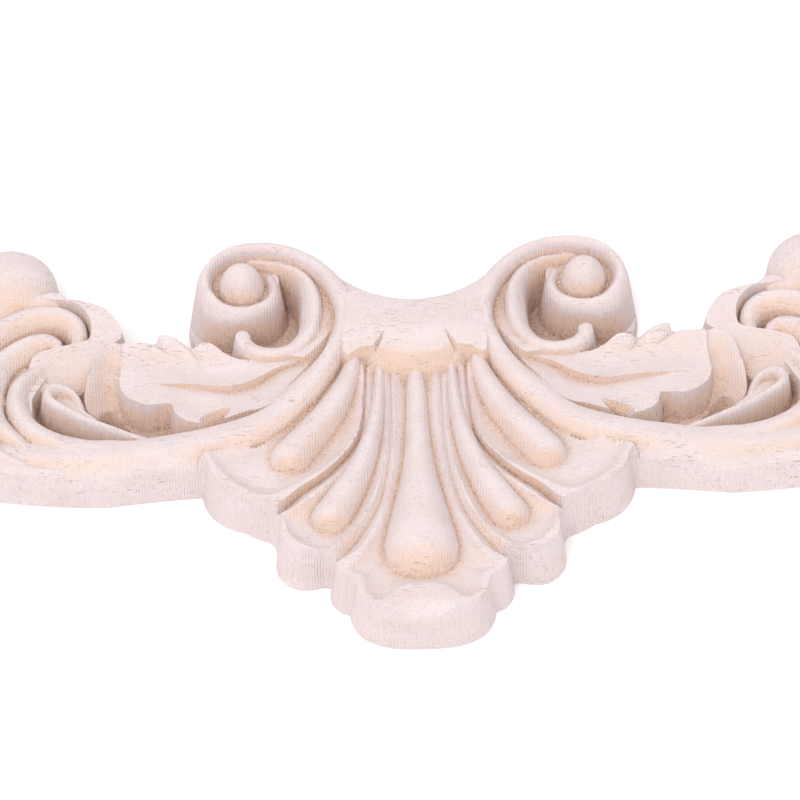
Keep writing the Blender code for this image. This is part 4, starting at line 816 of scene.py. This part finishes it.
def makeWood():
    look = woodLook
    material = bpy.data.materials.new("rawRubberwood")
    material.use_nodes = True
    tree = material.node_tree
    shader = tree.nodes["Principled BSDF"]
    place = addNode(tree, "ShaderNodeTexCoord").outputs["Object"]
    normal = addNode(tree, "ShaderNodeNewGeometry").outputs["Normal"]
    _, normalY, normalZ = addNode(tree, "ShaderNodeSeparateXYZ", {0: normal}).outputs
    steep = between(tree, normalZ, 0.95, 0.35)
    recess = addNode(tree, "ShaderNodeAttribute", attribute_name="recess").outputs["Fac"]
    recess = between(tree, recess, 0.14, 0.9)
    sheltered = addNode(tree, "ShaderNodeAttribute", attribute_name="sheltered").outputs["Fac"]
    flankShadeMask = maths(tree, "MULTIPLY", between(tree, normalY, -0.18, -0.75), sheltered)
    fuzz = noise(tree, place, [look["fuzzSize"]] * 3, 3.0, 0.6)

    # Colour: clouds and mottling, a tan painted shade on flanks that face the camera, a warm painted
    # shade in the grooves, grain threads, flecks of painted shade on the fibres in the recesses, and
    # pores
    clouds = noise(tree, place, look["cloudSize"], 4.0, 0.6)
    tone = mixed(tree, between(tree, clouds, 0.35, 0.68), look["pale"], look["rosy"])
    mottling = between(tree, fuzz, 0.44, 0.66, 0.0, look["mottleShare"])
    tone = mixed(tree, mottling, tone, look["mottle"])
    broken = between(tree, fuzz, 0.30, 0.62, 0.55, 1.15)
    # Painted shade: sheltered walls that face the camera take the darker tan tone
    tone = mixed(tree, maths(tree, "MULTIPLY", flankShadeMask, broken), tone, look["flankShadeTone"])
    # Painted shade: recesses take the darker warm tone, as shade gathers there
    recessShade = maths(tree, "MINIMUM", maths(tree, "MULTIPLY", recess, broken), 1.0)
    tone = mixed(tree, recessShade, tone, look["warmShadeAndGrain"])
    threads = noise(tree, place, look["threadSize"], 2.0)
    threads = between(tree, threads, 0.52, 0.80, 0.0, look["threadShare"])
    tone = mixed(tree, threads, tone, look["warmShadeAndGrain"])
    # Painted shade: dark flecks on the rough fibres, only in the recesses
    shadedFibres = between(tree, noise(tree, place, [look["speckSize"]] * 3, 3.0, 0.7), 0.50, 0.66)
    shadedFibres = maths(tree, "MULTIPLY", maths(tree, "MULTIPLY", shadedFibres, recess), look["shadedFibreShare"])
    tone = mixed(tree, shadedFibres, tone, look["shadedFibreFleck"])
    pores = noise(tree, place, (look["poreLength"], look["poreWidth"], look["poreWidth"]), 1.0)
    patches = between(tree, noise(tree, place, look["patchSize"], 1.0), 0.42, 0.60, 0.15, 1.0)
    poreMask = maths(tree, "MULTIPLY", between(tree, pores, 0.655, 0.72), patches)
    shown = maths(tree, "MULTIPLY", poreMask, look["poreShare"])
    colour = mixed(tree, shown, tone, look["pore"])
    tree.links.new(colour, shader.inputs["Base Color"])
    shader.inputs["Roughness"].default_value = look["roughness"]
    shader.inputs["Specular IOR Level"].default_value = look["shine"]

    # The cutter's rows run across the wood and show most on the walls
    rowScale = [math.pi / (10 * look["toolPitch"] * mm)] * 3
    rows = addNode(tree, "ShaderNodeMapping", {"Vector": place, "Scale": rowScale}).outputs[0]
    passes = addNode(tree, "ShaderNodeTexWave", {"Vector": rows, "Scale": 1.0, "Detail": 2.0,
                                                 "Detail Scale": 0.6,
                                                 "Distortion": look["toolWaver"]},
                     bands_direction="X").outputs[1]
    strength = maths(tree, "MULTIPLY", steep, look["toolOnWall"])
    strength = maths(tree, "ADD", strength, look["toolOnTop"])
    strokes = maths(tree, "MULTIPLY", maths(tree, "MULTIPLY", passes, strength), look["toolDepth"])
    napDepth = maths(tree, "MULTIPLY", recess, look["fuzzDepth"] * look["fuzzInGroove"])
    napDepth = maths(tree, "ADD", napDepth, look["fuzzDepth"] * look["fuzzOnTop"])
    nap = maths(tree, "MULTIPLY", fuzz, napDepth)
    cuts = maths(tree, "MULTIPLY", poreMask, -look["poreDepth"])
    depth = maths(tree, "ADD", maths(tree, "ADD", strokes, nap), cuts)
    bump = addNode(tree, "ShaderNodeBump", {"Height": depth, "Distance": mm, "Strength": 1.0})
    tree.links.new(bump.outputs[0], shader.inputs["Normal"])
    return material


onlay.data.materials.append(makeWood())
print("wood made")


# Floor, light and camera
studio = {"floorSize": 3.0, "floorColour": (0.9, 0.9, 0.9), "floorRoughness": 0.9, "world": 1.11,
          "sun": 1.32, "sunSpread": 0.5, "sunTilt": 38, "sunTurn": -22}


def makeStudio():
    data = bpy.data.meshes.new("floor")
    half = studio["floorSize"] / 2
    floorCorners = [(-half, -half, 0), (half, -half, 0), (half, half, 0), (-half, half, 0)]
    data.from_pydata(floorCorners, [], [(0, 1, 2, 3)])
    floor = bpy.data.objects.new("floor", data)
    bpy.context.scene.collection.objects.link(floor)
    material = bpy.data.materials.new("floorWhite")
    material.use_nodes = True
    shader = material.node_tree.nodes["Principled BSDF"]
    shader.inputs["Base Color"].default_value = (*studio["floorColour"], 1)
    shader.inputs["Roughness"].default_value = studio["floorRoughness"]
    data.materials.append(material)
    world = bpy.data.worlds.new("studio")
    bpy.context.scene.world = world
    world.use_nodes = True
    sky = world.node_tree.nodes["Background"]
    sky.inputs[0].default_value = (1, 1, 1, 1)
    sky.inputs[1].default_value = studio["world"]
    lamp = bpy.data.lights.new("window", "SUN")
    lamp.energy, lamp.angle = studio["sun"], studio["sunSpread"]
    window = bpy.data.objects.new("window", lamp)
    window.rotation_euler = (math.radians(studio["sunTilt"]), 0, math.radians(studio["sunTurn"]))
    bpy.context.scene.collection.objects.link(window)


# The camera looks down on the tip of the shell from the front. Its eye is in millimetres, from the
# axis and the carving's own zero.
cameraLook = {"eye": (-7.58, -486.24, 513.54), "right": (0.9997, -0.0224, -0.012),
              "up": (0.0245, 0.719, 0.6946), "back": (-0.0069, -0.6946, 0.7193),
              "lens": 192.15, "sensor": 36.0, "nearest": 0.01}


def makeCamera():
    eye = (np.array(cameraLook["eye"]) - [0, middleY, 0]) * mm
    columns = (cameraLook["right"], cameraLook["up"], cameraLook["back"], eye)
    data = bpy.data.cameras.new("camera")
    data.lens, data.sensor_width = cameraLook["lens"], cameraLook["sensor"]
    data.clip_start = cameraLook["nearest"]
    camera = bpy.data.objects.new("camera", data)
    camera.matrix_world = Matrix([[c[row] for c in columns] for row in range(3)] + [[0, 0, 0, 1]])
    bpy.context.scene.collection.objects.link(camera)
    bpy.context.scene.camera = camera


makeStudio()
makeCamera()
bpy.context.scene.view_settings.view_transform = "Standard"
print("studio made")
